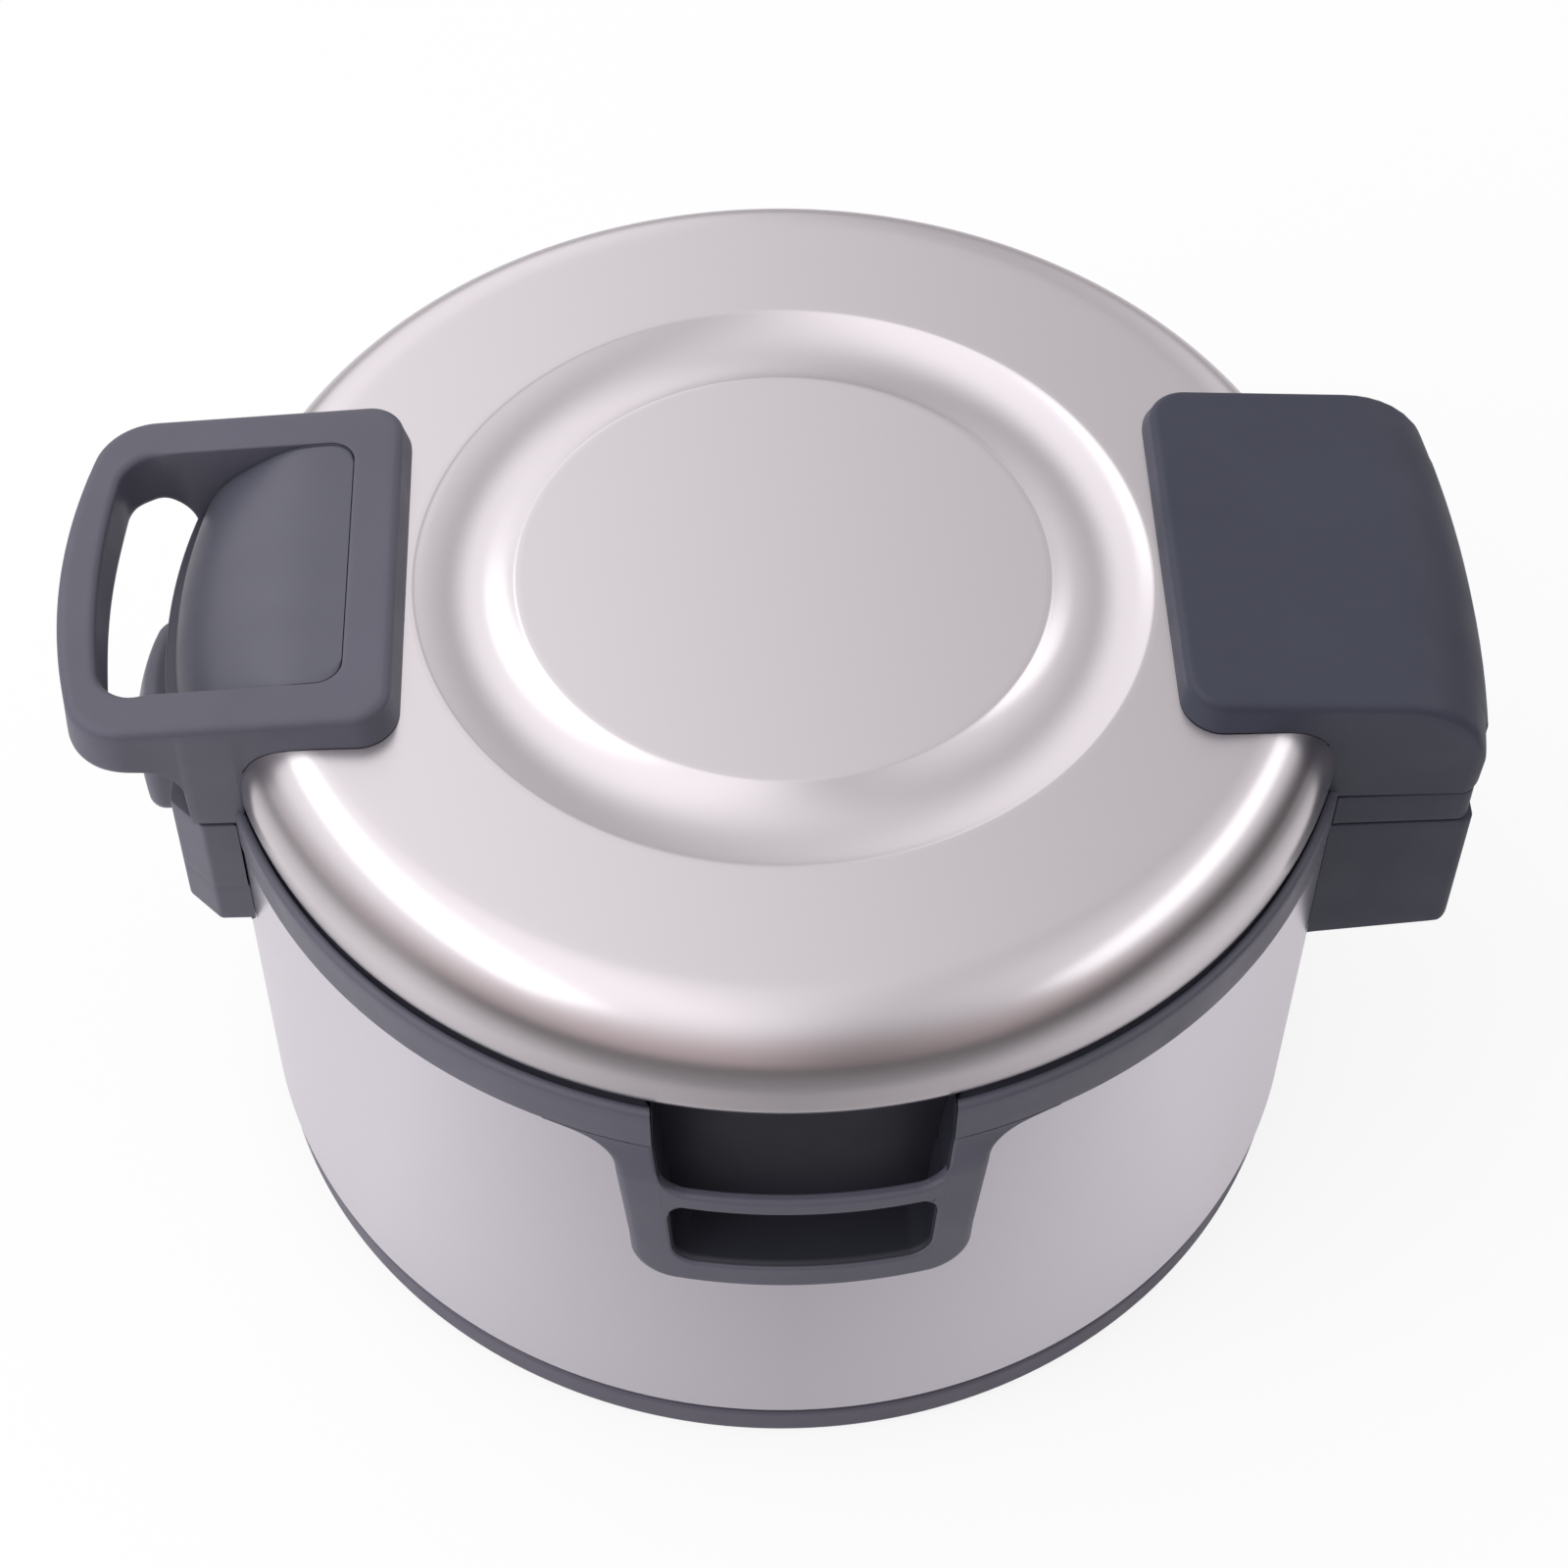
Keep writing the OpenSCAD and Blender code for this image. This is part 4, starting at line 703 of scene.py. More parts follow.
def shell_skin():
    """Cylinder grid: angle from +X by height; cells whose middle lies in a window are dropped.
    Guard lines close to every edge keep the rounding of the rim's shading off the sheet."""
    pocket, plate, mouth = (np.arcsin(w / shell_r) for w in (pocket_half, plate_half, mouth_half))
    windows = [(1.5 * np.pi, pocket, 125.8, 300.0), (0.5 * np.pi, pocket, 125.8, 300.0),
               (np.pi, plate, 78.0, 106.0), (0.0, mouth, 46.3, 69.7)]
    guard = np.array([-guard_gap, 0, guard_gap])
    sides = np.array([w[0] + s * w[1] for w in windows for s in (-1, 1)])
    angle = lines(0, 2 * np.pi, (sides[:, None] + guard / shell_r).ravel() % (2 * np.pi), np.radians(1.25))[:-1]
    rims = np.array([shell_low, shell_top] + [e for w in windows for e in w[2:]])
    tall = lines(shell_low, shell_top, np.clip((rims[:, None] + guard).ravel(), shell_low, shell_top), 12)
    rings = np.stack(np.broadcast_arrays(shell_r * np.cos(angle), shell_r * np.sin(angle), tall[:, None]), -1)
    points, faces = loft(rings, ends="open")
    corner = points[np.array(faces)]
    mid_z = corner[..., 2].mean(1)
    mid_a = np.arctan2(corner[..., 1].sum(1), corner[..., 0].sum(1))
    keep = np.ones(len(faces), bool)
    for at, half, low, high in windows:
        off = np.abs((mid_a - at + np.pi) % (2 * np.pi) - np.pi)
        keep &= ~((off < half) & (mid_z > low) & (mid_z < high))
    return points, np.array(faces)[keep].tolist()


shell = finished("shell_skin", shell_skin(), shell_steel, "base", ["outer_shell"])
wall = shell.modifiers.new("wall", "SOLIDIFY")
wall.thickness, wall.offset = 0.0008, -1

# %% [markdown]
# ## The collar
# The dark ring between shell and lid carries the pot and ends at each carry handle, where the hand
# reaches in. One closed section runs round each half of the body. The ends are cut by planes and not
# by radii, so the angle at which the ring stops depends on the radius of each point of the section.

# %% Collar halves
collar_r, collar_low, collar_top = 203.2, 196.0, 215.0
recess_lean, notch_half = 0.118, 49.5
deck_r, deck_low, deck_top = 173.5, 209.0, 212.0


def collar_half(side):
    """Section (radius, height) carried round half the body: angle = t * (90 deg - asin(notch / r)), t from
    -1 to 1, where the notch is wide on the deck and as narrow as the finger recess at the rim."""
    section = rounded([(collar_r, collar_low, 0.4), (collar_r, collar_top, 2.4), (collar_r - 3.4, collar_top, 0.8),
                       (collar_r - 4.2, deck_top, 1.2), (deck_r, deck_top, 0.8), (deck_r, deck_low, 0.4),
                       (197.0, deck_low, 1.0), (197.4, collar_low - 6, 0.3), (200.0, collar_low - 6, 0.3),
                       (200.2, collar_low, 0.2)], arc=6, run=4)
    r, z = section[:, 0], section[:, 1]
    notch = np.where(r > 196.5, notch_half + 0.01 * (z - collar_low), pocket_half)
    stop = np.pi / 2 - np.arcsin(notch / r)
    return swept(section, np.linspace(-1, 1, 141)[:, None] * stop + (0 if side > 0 else np.pi))


def seat_strip():
    """The narrow ring of the deck that passes behind both notches."""
    strip_r, strip_top = deck_r + 2.7, deck_top - 0.1
    section = rounded([(deck_r, deck_low, 0.4), (strip_r, deck_low, 0.3), (strip_r, strip_top, 0.3),
                       (deck_r, strip_top, 0.5)], arc=3, run=2)
    return loft(spin(section, 200), ends="loop")


finished("collar", gather(collar_half(1), collar_half(-1), seat_strip()), grey_plastic, "base",
         ["collar_ring"])

# %% Base pan
def base_ring():
    """Spun pan: flat underside, a low skirt with a rounded foot, ledge, neck and the spigot inside the shell."""
    profile = rounded([(85.2, 4.0, 0.4), (193.0, 4.0, 0.4), (194.0, 1.4, 0.4), (201.4, 1.4, 3.0),
                       (201.4, 15.0, 1.6),
                       (196.8, 15.2, 0.6), (196.8, 22.6, 0.3), (201.7, 23.0, 0.3), (201.7, 33.0, 0.5),
                       (192.8, 33.0, 0.3), (192.8, 7.0, 0.8), (85.2, 7.0, 0.4)], arc=6, run=5)
    return loft(spin(profile, 240), ends="loop")


finished("base_wall", base_ring(), base_plastic, "base", ["base_pan"])

# %% [markdown]
# ## The lid handle
# The handle is the piece that took most skill to mould: a sloping frame that lies on the lid, bows out
# into a grip, and on its way over the lid's edge runs down in a soft curve into a tongue that covers
# the latch. Box modelling with bevels would fight the many radii, so the frame is a closed band between
# matching outlines, two for its top and two for its foot, because its walls lean as moulded walls do. Its
# top is a tilted plane, and its underside is a height worked out from the distance to the lid's axis. It is
# drawn on the +X side and mirrored to where the handle sits.

# %% Handle heights
tongue_r, tongue_low, reach = 217.3, 209.0, 250.9
handle_peak, handle_tilt, handle_start = 268.0, 0.07, 131.0
edge_radii = (lid_r + 0.35, tongue_r)


def handle_top(x, y=0.0):
    """Tilted top plane of the handle."""
    return handle_peak - handle_tilt * (np.asarray(x) - handle_start)


def handle_under(x, y):
    """Underside of the handle: on the lid it follows the lid, under the tongue it is flat,
    and outside it leaves the tongue's face in a quarter ellipse and levels out under the grip."""
    r = np.hypot(x, y)
    grip = handle_top(reach) - 21.5 + 0.043 * (reach - x)
    away = np.clip((r - tongue_r) / 13.0, 0, 1)
    curve = grip - 17.0 * (1 - np.sqrt(1 - (1 - away) ** 2))
    return np.where(r < edge_radii[0], lid_height(r, 0.25), np.where(r < tongue_r, tongue_low, curve))


print("handle: top", np.round(handle_top(np.array([handle_start, reach])), 1), "mm")

# %% Handle outlines
side_y, tongue_y, foot_y, hole_y, bow_r, hole_bow = 72.6, 70.0, 75.4, 55.3, 220.0, 300.0


def arc(centre, radius, start, stop, steps):
    """Points on a circle from one angle to another, in degrees."""
    t = np.radians(np.linspace(start, stop, steps + 1))
    return np.array(centre) + radius * np.stack([np.cos(t), np.sin(t)], -1)


def straight(a, b, steps):
    """Even points from a to b."""
    return np.array(a, float) + (np.array(b, float) - np.array(a, float)) * np.linspace(0, 1, steps + 1)[:, None]


def half_outline(x_in, y_side, x_reach, bow, r_in, r_out, edge_r):
    """Half of a handle outline from the inner end's middle to the grip's middle: inner end, inner corner,
    side in three runs that meet at the lid's edge and at the tongue's face, outer corner, bowed grip.
    The outer corner is the circle that touches both the side and the bow."""
    lid_x = math.sqrt(edge_r[0] ** 2 - y_side ** 2)
    face_x = math.sqrt(edge_r[1] ** 2 - y_side ** 2)
    c_y = y_side - r_out
    c_x = x_reach - bow + math.sqrt((bow - r_out) ** 2 - c_y ** 2)
    lean = math.degrees(math.atan2(c_y, c_x - x_reach + bow))
    return np.concatenate([
        straight((x_in, 0), (x_in, y_side - r_in), 8)[:-1],
        arc((x_in + r_in, y_side - r_in), r_in, 180, 90, 12)[:-1],
        straight((x_in + r_in, y_side), (lid_x - 0.02, y_side), 16),
        straight((lid_x + 0.02, y_side), (face_x - 0.02, y_side), 6),
        straight((face_x + 0.02, y_side), (c_x, y_side), 16)[:-1],
        arc((c_x, c_y), r_out, 90, lean, 18)[:-1],
        arc((x_reach - bow, 0), bow, lean, 0, 14)])


def whole(half):
    """A half outline joined to its mirror image across the X axis, as one closed loop."""
    return np.concatenate([half, half[-2:0:-1] * np.array([1, -1])])


def wall_foot(outline):
    """The foot outline, its sides where walls of one slope reach the underside; wider on the lid and the grip."""
    x, y = outline.T
    slope = (side_y - tongue_y) / (handle_top(190.0) - tongue_low)
    on_lid = (foot_y - side_y + slope * 12) * (1 - blended(x, 172.0, 26.0))
    half = side_y - slope * (handle_top(x) - handle_under(x, y)) + on_lid + 1.4 * blended(x, 218.0, 20.0)
    return np.stack([x, y * half / tongue_y], -1)


outer_top = whole(half_outline(133.0, side_y, reach - 0.4, bow_r, 13.0, 22.0, edge_radii))
outer_low = wall_foot(whole(half_outline(handle_start, tongue_y, reach, bow_r, 14.0, 22.0, edge_radii)))
inner_top = whole(half_outline(150.0, hole_y, reach - 14.5, hole_bow, 9.0, 14.0, edge_radii))
narrow = 1 - 0.06 * blended(inner_top[:, 0], 219.0, 14.0)
inner_low = inner_top * np.stack([np.ones(len(inner_top)), narrow], -1)
inner_low[:, 0] -= 1.6 * blended(inner_low[:, 0], 232.0, 8.0)
print("handle outlines:", len(outer_top), "stations")

# %% Handle frame
free = blended(np.hypot(*outer_top.T), tongue_r + 13, 18)
handle_frame = band((outer_top, outer_low), (inner_top, inner_low), handle_top, handle_under,
                    (3.4, 0.8 + 1.8 * free, 0.3 + 4.6 * free, 0.3 + 4.2 * free), across=7, wall=10, bend=6)
tongue_half = math.asin(56.3 / tongue_r)
tongue = swept(rounded([(214.3, tongue_low, 0.3), (tongue_r, tongue_low, 0.5), (tongue_r, 229.4, 0.8),
                        (201.0, 229.4, 0.3), (201.0, 226.4, 0.3), (214.3, 226.4, 0.5)], arc=4, run=3),
               np.linspace(-tongue_half, tongue_half, 41)[:, None])
finished("lid_grip", gather(handle_frame, tongue), grey_plastic, "lid",
         ["lid_handle"], mirror=True)

# %% [markdown]
# The panel inside the frame lies flush with it near the lid and then rolls over and down in front of the
# latch, leaving room for the fingers. Its section is a quarter ellipse. Each point of it carries a strip
# across the handle: straight at the seam, and lower down bent round the lid's axis, as the tongue is.

# %% Handle panel
roll_from, roll_long, roll_fall = 161.0, 52.4, 32.6


def roll_panel():
    """Path (x, z): the handle's plane and then a quarter ellipse, carried across y, with a thin wall below.
    A point at distance s from the axis moves to x = s - w (s - sqrt(s^2 - y^2)), w rising along the roll."""
    t = np.linspace(0, np.pi / 2, 56)[1:]
    x = np.concatenate([np.linspace(150.25, roll_from, 16), roll_from + roll_long * np.sin(t)])
    fall = np.concatenate([np.zeros(16), roll_fall * (1 - np.cos(t))])
    path = np.stack([x, handle_top(x) - 0.4 - fall], -1)
    along = np.gradient(path, axis=0)
    along /= np.linalg.norm(along, axis=1, keepdims=True)
    up = np.stack([-along[:, 1], along[:, 0]], -1)
    inset = np.clip(9 - (path[:, 0] - 150.2), 0, 9)
    half = (hole_y - 0.25 - (9 - np.sqrt(81 - inset ** 2)))[:, None]
    edge = 0.7
    a = np.linspace(np.pi / 2, 0, 5)
    bend_y, bend_z = edge * (1 - np.sin(a)), -edge * (1 - np.cos(a))
    y = np.concatenate([-half + bend_y[::-1], half * np.linspace(-0.97, 0.97, 41), half - bend_y], 1)
    drop = np.concatenate([bend_z[::-1], np.zeros(41), bend_z])
    spot = path[:, None] + up[:, None] * drop[None, :, None]
    back = path[:, None] - up[:, None] * 2.4 + 0 * spot

    def bowed(s):
        return s - blended(x, 182.0, 34.0)[:, None] * (s - np.sqrt(s ** 2 - y ** 2))

    upper = np.stack([bowed(spot[..., 0]), y, spot[..., 1]], -1)
    lower = np.stack([bowed(back[..., 0]), y, back[..., 1]], -1)
    return loft(np.concatenate([upper, lower[:, ::-1]], 1))


finished("roll_panel", roll_panel(), panel_plastic, "lid",
         ["handle_panel"], mirror=True, sharp=45)

# %% [markdown]
# ## The hinge
# A thick cover sits over the hinge: almost flat on top, with a big round fall at its bowed back and soft
# edges all round. Below it a fixed band carries the middle barrel of the hinge, and under that a
# block closes the joint to the shell. All three are pillows over rounded outlines; only their top and
# bottom heights differ. Cheeks at both ends of the cover take the pin, so its middle is cut away low down.

# %% Hinge cover
hinge_x, back_r, back_round, split = 245.3, 447.0, 34.0, 212.0
hood_y, hood_foot_y, cheek_y = 74.0, 77.8, 72.0
hood_peak, hood_tilt, hood_start = 266.1, 0.052, 132.0
pin_x, pin_z, barrel_r, barrel_y, barrel_room = 232.887, 221.0, 8.4, 57.5, 230.4


def back_of(y):
    """Where the bowed back lies: a circle of radius back_r through the middle of the back."""
    return hinge_x - back_r + np.sqrt(back_r ** 2 - np.asarray(y, float) ** 2)


def cover_top(x, y=0.0):
    """Gently falling plane that ends in a quarter circle at the back, above the barrel between the cheeks."""
    out = np.clip(x - back_of(y) + back_round, 0, back_round)
    tall = hood_peak - hood_tilt * (x - hood_start) - (back_round - np.sqrt(back_round ** 2 - out ** 2))
    return np.where(np.abs(y) < barrel_y + 0.4, np.maximum(tall, barrel_room + 3.4), tall)


def cover_under(x, y):
    """On the lid it follows the lid; behind it is level, rounded round the pin, and raised between the cheeks."""
    r = np.hypot(x, y)
    heel = np.clip(x - pin_x, 0, 8.99)
    low = split + 9.0 - np.sqrt(81.0 - heel ** 2)
    low = np.where((np.abs(y) < barrel_y + 0.4) & (x > pin_x - 9.4), barrel_room, low)
    return np.where(r < edge_radii[0], lid_height(r, 0.25), low)


def hood_outline(x_in, half):
    """Rounded rectangle with a bowed back; close pairs of points mark the lid's edge and the cheeks."""
    step = math.sqrt(edge_radii[0] ** 2 - half ** 2)
    gap = barrel_y + 0.4
    back_y = np.concatenate([[gap + 0.02, gap - 0.02], np.linspace(50, -50, 11), [-gap + 0.02, -gap - 0.02]])
    back = [(float(back_of(y)), float(y), 0) for y in back_y]
    corner_x = float(back_of(half))
    return rounded([(step + 0.02, half, 0), (corner_x, half, 7), *back, (corner_x, -half, 7),
                    (step + 0.02, -half, 0), (step - 0.02, -half, 0), (x_in, -half, 14), (x_in, half, 14),
                    (step - 0.02, half, 0)], arc=12, run=10)


def hinge_cover():
    """Pillow over the bowed outline, its foot wider where it stands on the lid; the cheeks stand back a little."""
    foot = hood_outline(131.6, cheek_y)
    x, y = foot.T
    slope = (hood_y - cheek_y) / (cover_top(200.0) - split)
    flare = (hood_foot_y - hood_y + slope * 11) * (1 - blended(x, 171.0, 28.0))
    on_lid = hood_y - slope * (cover_top(x) - cover_under(x, y)) + flare
    half = np.where(np.hypot(x, y) < edge_radii[0], on_lid, cheek_y)
    foot = np.stack([x, y * half / cheek_y], -1)
    spine = np.stack([0 * x + 188.0, np.clip(y, -barrel_y - 0.42, barrel_y + 0.42)], -1)
    points, faces = pillow(hood_outline(133.0, hood_y), cover_top, cover_under, 3.2, 0.3, centre=(188, 0),
                           cap=44, wall=10, bend=7, foot=foot, low_centre=spine)
    cheek = blended(np.abs(points[:, 1]), barrel_y + 0.4, 1.0) * (1 - blended(points[:, 2], 243.0, 12.0))
    points[:, 0] -= 0.4 * blended(points[:, 0], 233.0, 10.0) * cheek
    return points, faces


finished("hinge_hood", hinge_cover(), hinge_plastic, "lid", ["hinge_cover"])

# %% Hinge band and barrel
def crescent(x_out, y_half, corner, ring_r):
    """Outline between the body's cylinder and a rounded back, as seen from above."""
    lean = math.degrees(math.asin(y_half / ring_r))
    inner = arc((0, 0), ring_r, lean, -lean, 40)
    start = inner[-1]
    outer = rounded([(start[0], -y_half, 0), (x_out, -y_half + 0.8, corner), (x_out, y_half - 0.8, corner),
                     (start[0], y_half, 0)], arc=10, run=14, closed=False)
    return np.concatenate([inner[:-1], outer[:-1]])


def lying(skin):
    """Turns a skin made in plan (x, z, y) so that its height runs along Y."""
    points, faces = skin
    return points[:, [0, 2, 1]], faces


band_block = pillow(crescent(238.8, 71.8, 5.0, collar_r + 0.3), 210.8, 195.8, 0.6, 0.6, centre=(222, 0),
                    cap=6, wall=5)
eye = np.concatenate([arc((pin_x, pin_z), barrel_r, 180, 0, 40),
                      [[pin_x + barrel_r - 2.6, 210.0], [pin_x - barrel_r, 210.0]]])
barrel = lying(pillow(eye, barrel_y, -barrel_y, 0.7, 0.7, centre=(pin_x, pin_z - 1), cap=4, wall=24, bend=4))
finished("hinge_saddle", gather(band_block, barrel), hinge_plastic, "base", ["hinge_band"])


# %% Hinge block
block_x, block_turn = 240.7, 5.0


def block_under(x, y):
    """Underside that rises outwards and turns up in a small quarter circle at the back."""
    out = np.clip(x - (block_x - block_turn), 0, block_turn)
    return 129.7 + 0.098 * (x - 190.0) + block_turn - np.sqrt(block_turn ** 2 - out ** 2)


hinge_foot = pillow(crescent(block_x, 71.6, 4.0, shell_r + 0.15), 194.7, block_under, 0.6, 0.8, centre=(223, 0),
                    cap=12, wall=14)
finished("hinge_foot", hinge_foot, hinge_plastic, "base", ["hinge_block"])

# %% [markdown]
# ## The latch
# Under the handle a block with two broad chamfers is fixed to the body, and a rounded paddle in front
# of it is pressed to let the lid go. The block is a low pillow with two more on it, which leaves the
# slot for the lever free between them. The paddle is a pillow lying on its side, its height being how
# far it bulges out; the boss, arm and hook that the paddle moves are small pillows too.

# %% Latch block
block_low, block_mid, block_top, block_y, face_x = 152.0, 172.0, 207.0, 69.8, 215.0
chamfer, slot_y = 12, 18.4


def block_outline(y_from, y_to, ring_r):
    """Plan of the block between two y values: body's cylinder inside, chamfered face outside."""
    inner_y = np.linspace(y_to, y_from, 31)
    inner = np.stack([np.sqrt(ring_r ** 2 - inner_y ** 2), inner_y], -1)
    corners = [(inner[-1][0], y_from, 0)]
    if y_from == -block_y:
        corners += [(face_x - chamfer, y_from, 3), (face_x, y_from + chamfer, 4)]
    else:
        corners += [(face_x, y_from, 0.8)]
    if y_to == block_y:
        corners += [(face_x, y_to - chamfer, 4), (face_x - chamfer, y_to, 3)]
    else:
        corners += [(face_x, y_to, 0.8)]
    corners += [(inner[0][0], y_to, 0)]
    return np.concatenate([inner[:-1], rounded(corners, arc=7, run=6, closed=False)[:-1]])


low_part = pillow(block_outline(-block_y, block_y, shell_r + 0.2), block_mid, block_low, 0.01, 1.6,
                  centre=(207.5, 0), cap=6, wall=6)
cheeks = [pillow(block_outline(a, b, collar_r + 0.25), block_top, block_mid, 0.5, 0.01,
                 centre=(207.4, (a + b) / 2), cap=6, wall=8)
          for a, b in ((-block_y, -slot_y), (slot_y, block_y))]
finished("latch_body", gather(low_part, *cheeks), grey_plastic, "base",
         ["latch_block"], mirror=True)


# %% Latch paddle
paddle_bow, paddle_out, paddle_full, paddle_y, paddle_low = 76.0, 19.4, 31.0, 27.5, 158.8


def paddle_face(y, z):
    """How far out the paddle reaches: a wide bulge across, fullest a third of the way up."""
    across = paddle_bow - np.sqrt(paddle_bow ** 2 - y ** 2)
    rise = (z - (block_top - paddle_full)) / paddle_full
    return face_x + paddle_out - across - np.where(rise > 0, 7.0 * rise ** 2, 2.2 * rise ** 2)


def facing_out(skin):
    """Turns a skin made as (y, z, x) so that its height runs along X."""
    points, faces = skin
    return points[:, [2, 0, 1]], faces


def block_of(low, high, edge):
    """A small rounded block between two corners."""
    outline = rounded([(low[0], low[1], edge), (high[0], low[1], edge), (high[0], high[1], edge),
                       (low[0], high[1], edge)], arc=4, run=3)
    return pillow(outline, high[2], low[2], edge, edge, cap=3, wall=3, bend=4)


paddle_top = block_top - 0.2
pad_plan = rounded([(-paddle_y, paddle_low, 7), (paddle_y, paddle_low, 7), (paddle_y, paddle_top, 5),
                    (-paddle_y, paddle_top, 5)], arc=9, run=16)
pad = facing_out(pillow(pad_plan, paddle_face, 218.4, 4.5, 0.8, cap=14, wall=5))
eye_ring = arc((208.8, 182.0), 4.4, 0, 360, 28)[:-1]
bosses = [lying(pillow(eye_ring, a + 12, a, 0.5, 0.5, cap=3, wall=3, bend=3)) for a in (-18.0, 6.0)]
levers = [block_of((209.0, a, 179.2), (219.5, a + 11.8, 184.8), 0.6) for a in (-17.9, 6.1)]
arm = block_of((206.0, -13.0, 182.0), (208.5, 13.0, 221.0), 0.4)
hook = block_of((204.6, -13.0, 218.4), (206.6, 13.0, 221.0), 0.4)
finished("latch_pad", gather(pad, *bosses, *levers, arm, hook), panel_plastic, "latch",
         ["latch_paddle"], mirror=True)

# %% [markdown]
# ## The carry handles
# At the front and the back a moulded grip hangs from the collar: wide shoulders that flow out of the
# ring, a waist, a rounded foot, an open recess for the fingers and a slot below a cross bar. In the flat
# it is a U with a bar across. Both are drawn in x and height and then bent onto the body's cylinder, and
# the radius falls back towards the collar so that the shoulders meet it without a ledge.

# %% Carry grips
carry_r, carry_top, carry_low, bar_low, bar_top = 207.0, 195.85, 118.4, 166.3, 174.7
slot_low, pocket_r, pocket_top = 131.8, 184.3, 214.4
recess_low, slot_half, waist, taper, hang = 47.0, 45.4, 61.8, 0.088, 180.5
flare_up, flare_down = 9.0, 7.5


def grip_radius(z):
    """Outer radius of the grip: its own below, the collar's at the top, joined by a smooth step."""
    return carry_r - (carry_r - collar_r - 0.05) * blended(z, 187.5, 16.5)


def recess_half(z):
    """Half width of the opening: recess above the bar, slot below it, both with leaning sides."""
    above = recess_low + np.clip(z - bar_top, 0, collar_low - bar_top) * recess_lean
    return np.where(z > bar_low, above, slot_half - (bar_low - z) * 0.05)


def u_paths():
    """Outer and inner path of the U from one shoulder to the other, matched point by point."""
    a = np.linspace(np.pi / 2, 0, 25)
    shoulder_z = hang + (carry_top - hang) * np.sin(a)
    shoulder_o = np.stack([waist + 23.5 * (1 - np.cos(a) ** 0.8), shoulder_z], -1)
    shoulder_i = np.stack([recess_half(shoulder_z), shoulder_z], -1)
    side_z = np.linspace(hang, 142.0, 30)[1:]
    side_o = np.stack([waist - (hang - side_z) * taper, side_z], -1)
    side_i = np.stack([recess_half(side_z), side_z], -1)
    foot_o = rounded([side_o[-1].tolist() + [0], (57.4, carry_low, 15), (0, carry_low, 0)], arc=14, run=12,
                     closed=False)[1:]
    foot_i = rounded([side_i[-1].tolist() + [0], (43.4, slot_low, 8.5), (0, slot_low, 0)], arc=14, run=12,
                     closed=False)[1:]
    right_o = np.concatenate([shoulder_o, side_o, foot_o])
    right_i = np.concatenate([shoulder_i, side_i, foot_i])
    flip = np.array([-1, 1])
    return (np.concatenate([p, p[-2::-1] * flip]) for p in (right_o, right_i))


def bent(x, z, depth):
    """A flat point (x, height) set on the body at grip radius less depth, facing -Y."""
    r = grip_radius(z) - depth
    return np.stack([x, -np.sqrt(r ** 2 - x ** 2), z], -1)


def normals_of(path, side):
    """Unit normals along an open path, on its left (1) or right (-1)."""
    run = np.gradient(path, axis=0)
    run /= np.linalg.norm(run, axis=1, keepdims=True)
    return side * np.stack([-run[:, 1], run[:, 0]], -1)


def u_frame(outer_edge=3.2, inner_edge=1.2, thick=4.0):
    """Rounded section carried along the U: outer wall, edge, face, edge, inner wall, back."""
    outer, inner = u_paths()
    n_o, n_i = normals_of(outer, -1), normals_of(inner, 1)
    a = np.linspace(0, np.pi / 2, 7)
    free = np.clip((carry_top - outer[:, 1]) / 10, 0.05, 1)[:, None]
    ends = outer[:, None] + n_o[:, None] * (outer_edge * free * (1 - np.cos(a)))[..., None]
    drop_o = outer_edge * free * (1 - np.sin(a))
    joint = np.clip(np.abs(inner[:, 1] - 172.0) - 12.0, 0.05, 1)[:, None]
    tips = inner[:, None] + n_i[:, None] * (inner_edge * joint * (1 - np.cos(a[::-1])))[..., None]
    drop_i = inner_edge * joint * (1 - np.sin(a[::-1]))
    t = np.linspace(0, 1, 13)[1:-1, None]
    face = ends[:, -1:] + (tips[:, :1] - ends[:, -1:]) * t
    back = inner[:, None] + (outer - inner)[:, None] * np.linspace(0, 1, 5)[:, None]
    flat = np.concatenate([ends, face, tips, back], 1)
    depth = np.concatenate([drop_o, np.zeros((len(outer), 11)), drop_i, np.full((len(outer), 5), thick)], 1)
    full = bent(flat[..., 0], flat[..., 1], depth)
    full[:, -5:, 1] = -np.sqrt((shell_r + 0.15) ** 2 - flat[:, -5:, 0] ** 2)
    return loft(full)


def cross_bar(edge=1.8, deep=4.4):
    """Bar across the opening: its upper and lower edges flare out in arcs where they meet the sides.
    Its section runs up the rounded front, back over the top, down and forward under it."""
    u = np.linspace(-1, 1, 121)[:, None]
    x = np.abs(u) * recess_low
    into_up, into_down = (np.clip(x - recess_low + f, 0, f) for f in (flare_up, flare_down))
    upper = bar_top + flare_up - np.sqrt(flare_up ** 2 - into_up ** 2)
    lower = bar_low - flare_down + np.sqrt(flare_down ** 2 - into_down ** 2)
    a = np.linspace(0, np.pi / 2, 6)
    t = np.linspace(0, 1, 7)[1:-1]
    z = np.concatenate([lower + edge * (1 - np.sin(a[::-1])), lower + edge + (upper - lower - 2 * edge) * t,
                        upper - edge * (1 - np.sin(a)), upper, upper - 1, lower + 1, lower], 1)
    depth = np.concatenate([edge * (1 - np.cos(a[::-1])), 0 * t, edge * (1 - np.cos(a)),
                            [deep - 1, deep, deep, deep - 1]])
    return loft(bent(u * recess_half(z), z, depth[None]), ends="open")


def turned_round(skin):
    """The same skin half a turn round the Z axis."""
    points, faces = skin
    return points * np.array([-1, -1, 1]), faces


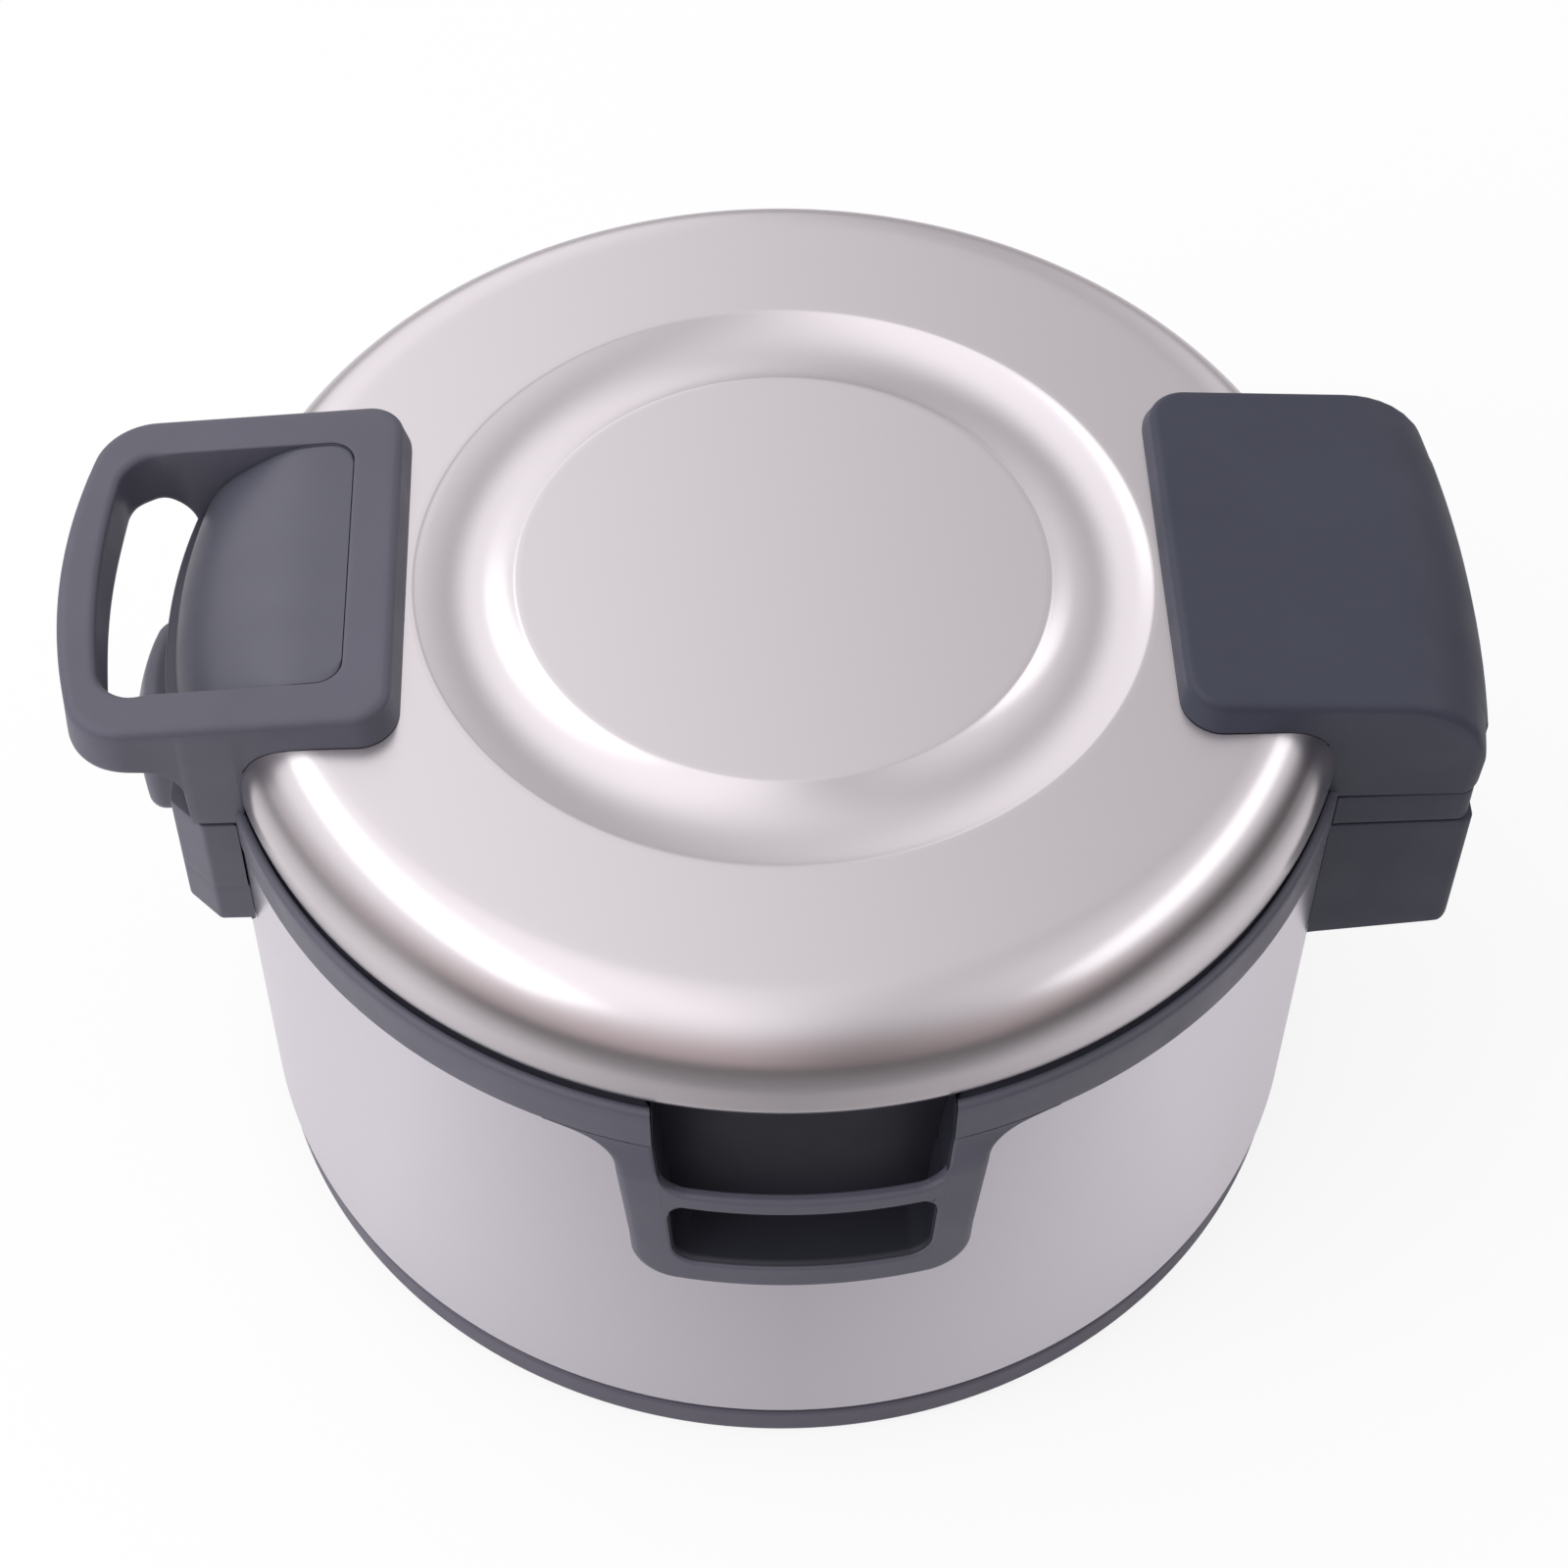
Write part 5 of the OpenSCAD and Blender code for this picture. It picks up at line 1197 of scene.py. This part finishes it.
near_grip = gather(u_frame(), cross_bar())
for name, grip in (("near", near_grip), ("far", turned_round(near_grip))):
    finished("carry_grip_" + name, grip, grey_plastic, "base", ["carry_handle_" + name])

# %% [markdown]
# Behind each grip a black tray closes the window in the shell. It starts just inside the edge of the
# opening, so its black sheet also covers the grip's own inner walls as painted shade. Each point of the opening's
# edge is carried back to the tray's floor and from there to the middle line, which makes walls and floor one
# sheet.

# %% Pocket trays
def pocket_tray_and_shade():
    """Grid: along the opening's edge, continued up the collar's notch, by rim, back corner and middle line."""
    _, edge = u_paths()
    # 0.35 mm inside the opening's edge, so that the black sheet paints the grip's inner walls dark as shade
    edge = edge - 0.35 * normals_of(edge, 1)
    rise = np.linspace(pocket_top, carry_top, 9)[:-1]
    wing = np.stack([recess_half(rise) - 0.35, rise], -1)
    edge = np.concatenate([wing, edge, wing[::-1] * np.array([-1, 1])])
    x, z = edge[:, :1], edge[:, 1:]
    depth = np.linspace(0, 1, 9)[None]
    r = (grip_radius(z) - 1.0) * (1 - depth) + pocket_r * depth
    walls = np.stack([x + 0 * r, -np.sqrt(r ** 2 - x ** 2), z + 0 * r], -1)
    share = np.linspace(1, 0, 7)[None, 1:]
    floor_x = x * share
    floor_z = np.clip(z, 150.0, None) + (z - np.clip(z, 150.0, None)) * share
    floor_y = -np.sqrt(pocket_r ** 2 - floor_x ** 2)
    return loft(np.concatenate([walls, np.stack([floor_x, floor_y, floor_z], -1)], 1), ends="open", around=False)


for name, tray in (("near", pocket_tray_and_shade()), ("far", turned_round(pocket_tray_and_shade()))):
    liner_and_shade = finished("pocket_" + name, tray, black_plastic, "base", ["carry_pocket_" + name])
    wall = liner_and_shade.modifiers.new("wall", "SOLIDIFY")
    wall.thickness, wall.offset = 0.0003, 0.0

# %% [markdown]
# ## The switch
# Low on the latch side sits a small panel with the power rocker. It is hardly seen, but it has to lie
# close to the body: a bezel bent to the shell, and a rocker whose faces end flush with it. The bezel is
# a band between two rounded rectangles lying on its back, the rocker a bar with a shallow V as its face.

# %% Switch bezel and rocker
switch_z, bezel_r, bezel_back, well_back = 92.0, 203.5, 201.2, 190.0
rocker_x, rocker_y, rocker_tilt = 198.8, (-17.7, 1.7), math.radians(-6.0)


def plate(y_from, y_to, half_z, corner):
    """Rounded rectangle in y and z round the switch's middle."""
    return rounded([(y_from, switch_z - half_z, corner), (y_to, switch_z - half_z, corner),
                    (y_to, switch_z + half_z, corner), (y_from, switch_z + half_z, corner)], arc=6, run=8)


def round_body(radius):
    """Height of a cylinder of that radius over the plane of the body's axis, by y."""
    return lambda y, z: np.sqrt(radius ** 2 - y ** 2)


rim, hole = plate(-26.0, 26.0, 17.0, 5.0), plate(-18.0, 2.0, 9.8, 0.6)
bezel = facing_out(band((rim, rim), (hole, hole), round_body(bezel_r), round_body(bezel_back),
                        (0.5, 0.3, 0.1, 0.1)))
well = block_of((well_back - 1.5, -19.0, switch_z - 11.0), (well_back, 3.0, switch_z + 11.0), 0.3)
finished("switch_bezel", gather(bezel, well), black_plastic, "base",
         ["switch_panel"], mirror=True)
face = np.array([(-3.0, -8.0, 0.6), (4.6, -8.0, 1.0), (3.6, 0.0, 6.0), (4.6, 8.0, 1.0), (-3.0, 8.0, 0.6)])
tilted = face[:, :2] @ np.array([[math.cos(rocker_tilt), -math.sin(rocker_tilt)],
                                 [math.sin(rocker_tilt), math.cos(rocker_tilt)]])
face[:, :2] = tilted + np.array([rocker_x, switch_z])
bar = lying(pillow(rounded(face.tolist(), arc=5, run=5), rocker_y[1], rocker_y[0], 0.4, 0.4,
                   cap=4, wall=8, bend=4))
axle = lying(pillow(arc((rocker_x, switch_z), 1.4, 0, 360, 20)[:-1], 3.0, -19.0, 0.2, 0.2,
                    cap=3, wall=3, bend=3))
finished("rocker_cap", gather(bar, axle), rocker_red, "rocker", ["power_rocker"], mirror=True)

# %% [markdown]
# ## Finishes for the solids that stay
# Parts that sit inside, or whose solid already has the right shape, keep their mesh.
# Each takes the finish of its slot in the record.

# %% Finishes by slot
by_slot = {
    "lid_steel": lid_steel, "shell_steel": shell_steel, "grey_plastic": grey_plastic,
    "panel_plastic": panel_plastic, "rim_plastic": rim_plastic, "black_plastic": black_plastic,
    "foot_rubber": foot_rubber, "seal_rubber": seal_rubber, "pot_coating": pot_coating,
    "bare_aluminium": bare_aluminium, "heater_foil": heater_foil, "wool": wool, "ceramic": ceramic,
    "wire": wire, "contact_brass": contact_brass, "rocker_red": rocker_red, "lens_amber": lens_amber,
    "plain_steel": plain_steel,
}
for part in frame["record"]["subparts"]:
    node = frame["nodes"][part["node"]]
    finish = base_plastic if part["node"] == "base_pan" else by_slot[part["material_slot"]]
    node.data.materials.clear()
    node.data.materials.append(finish)
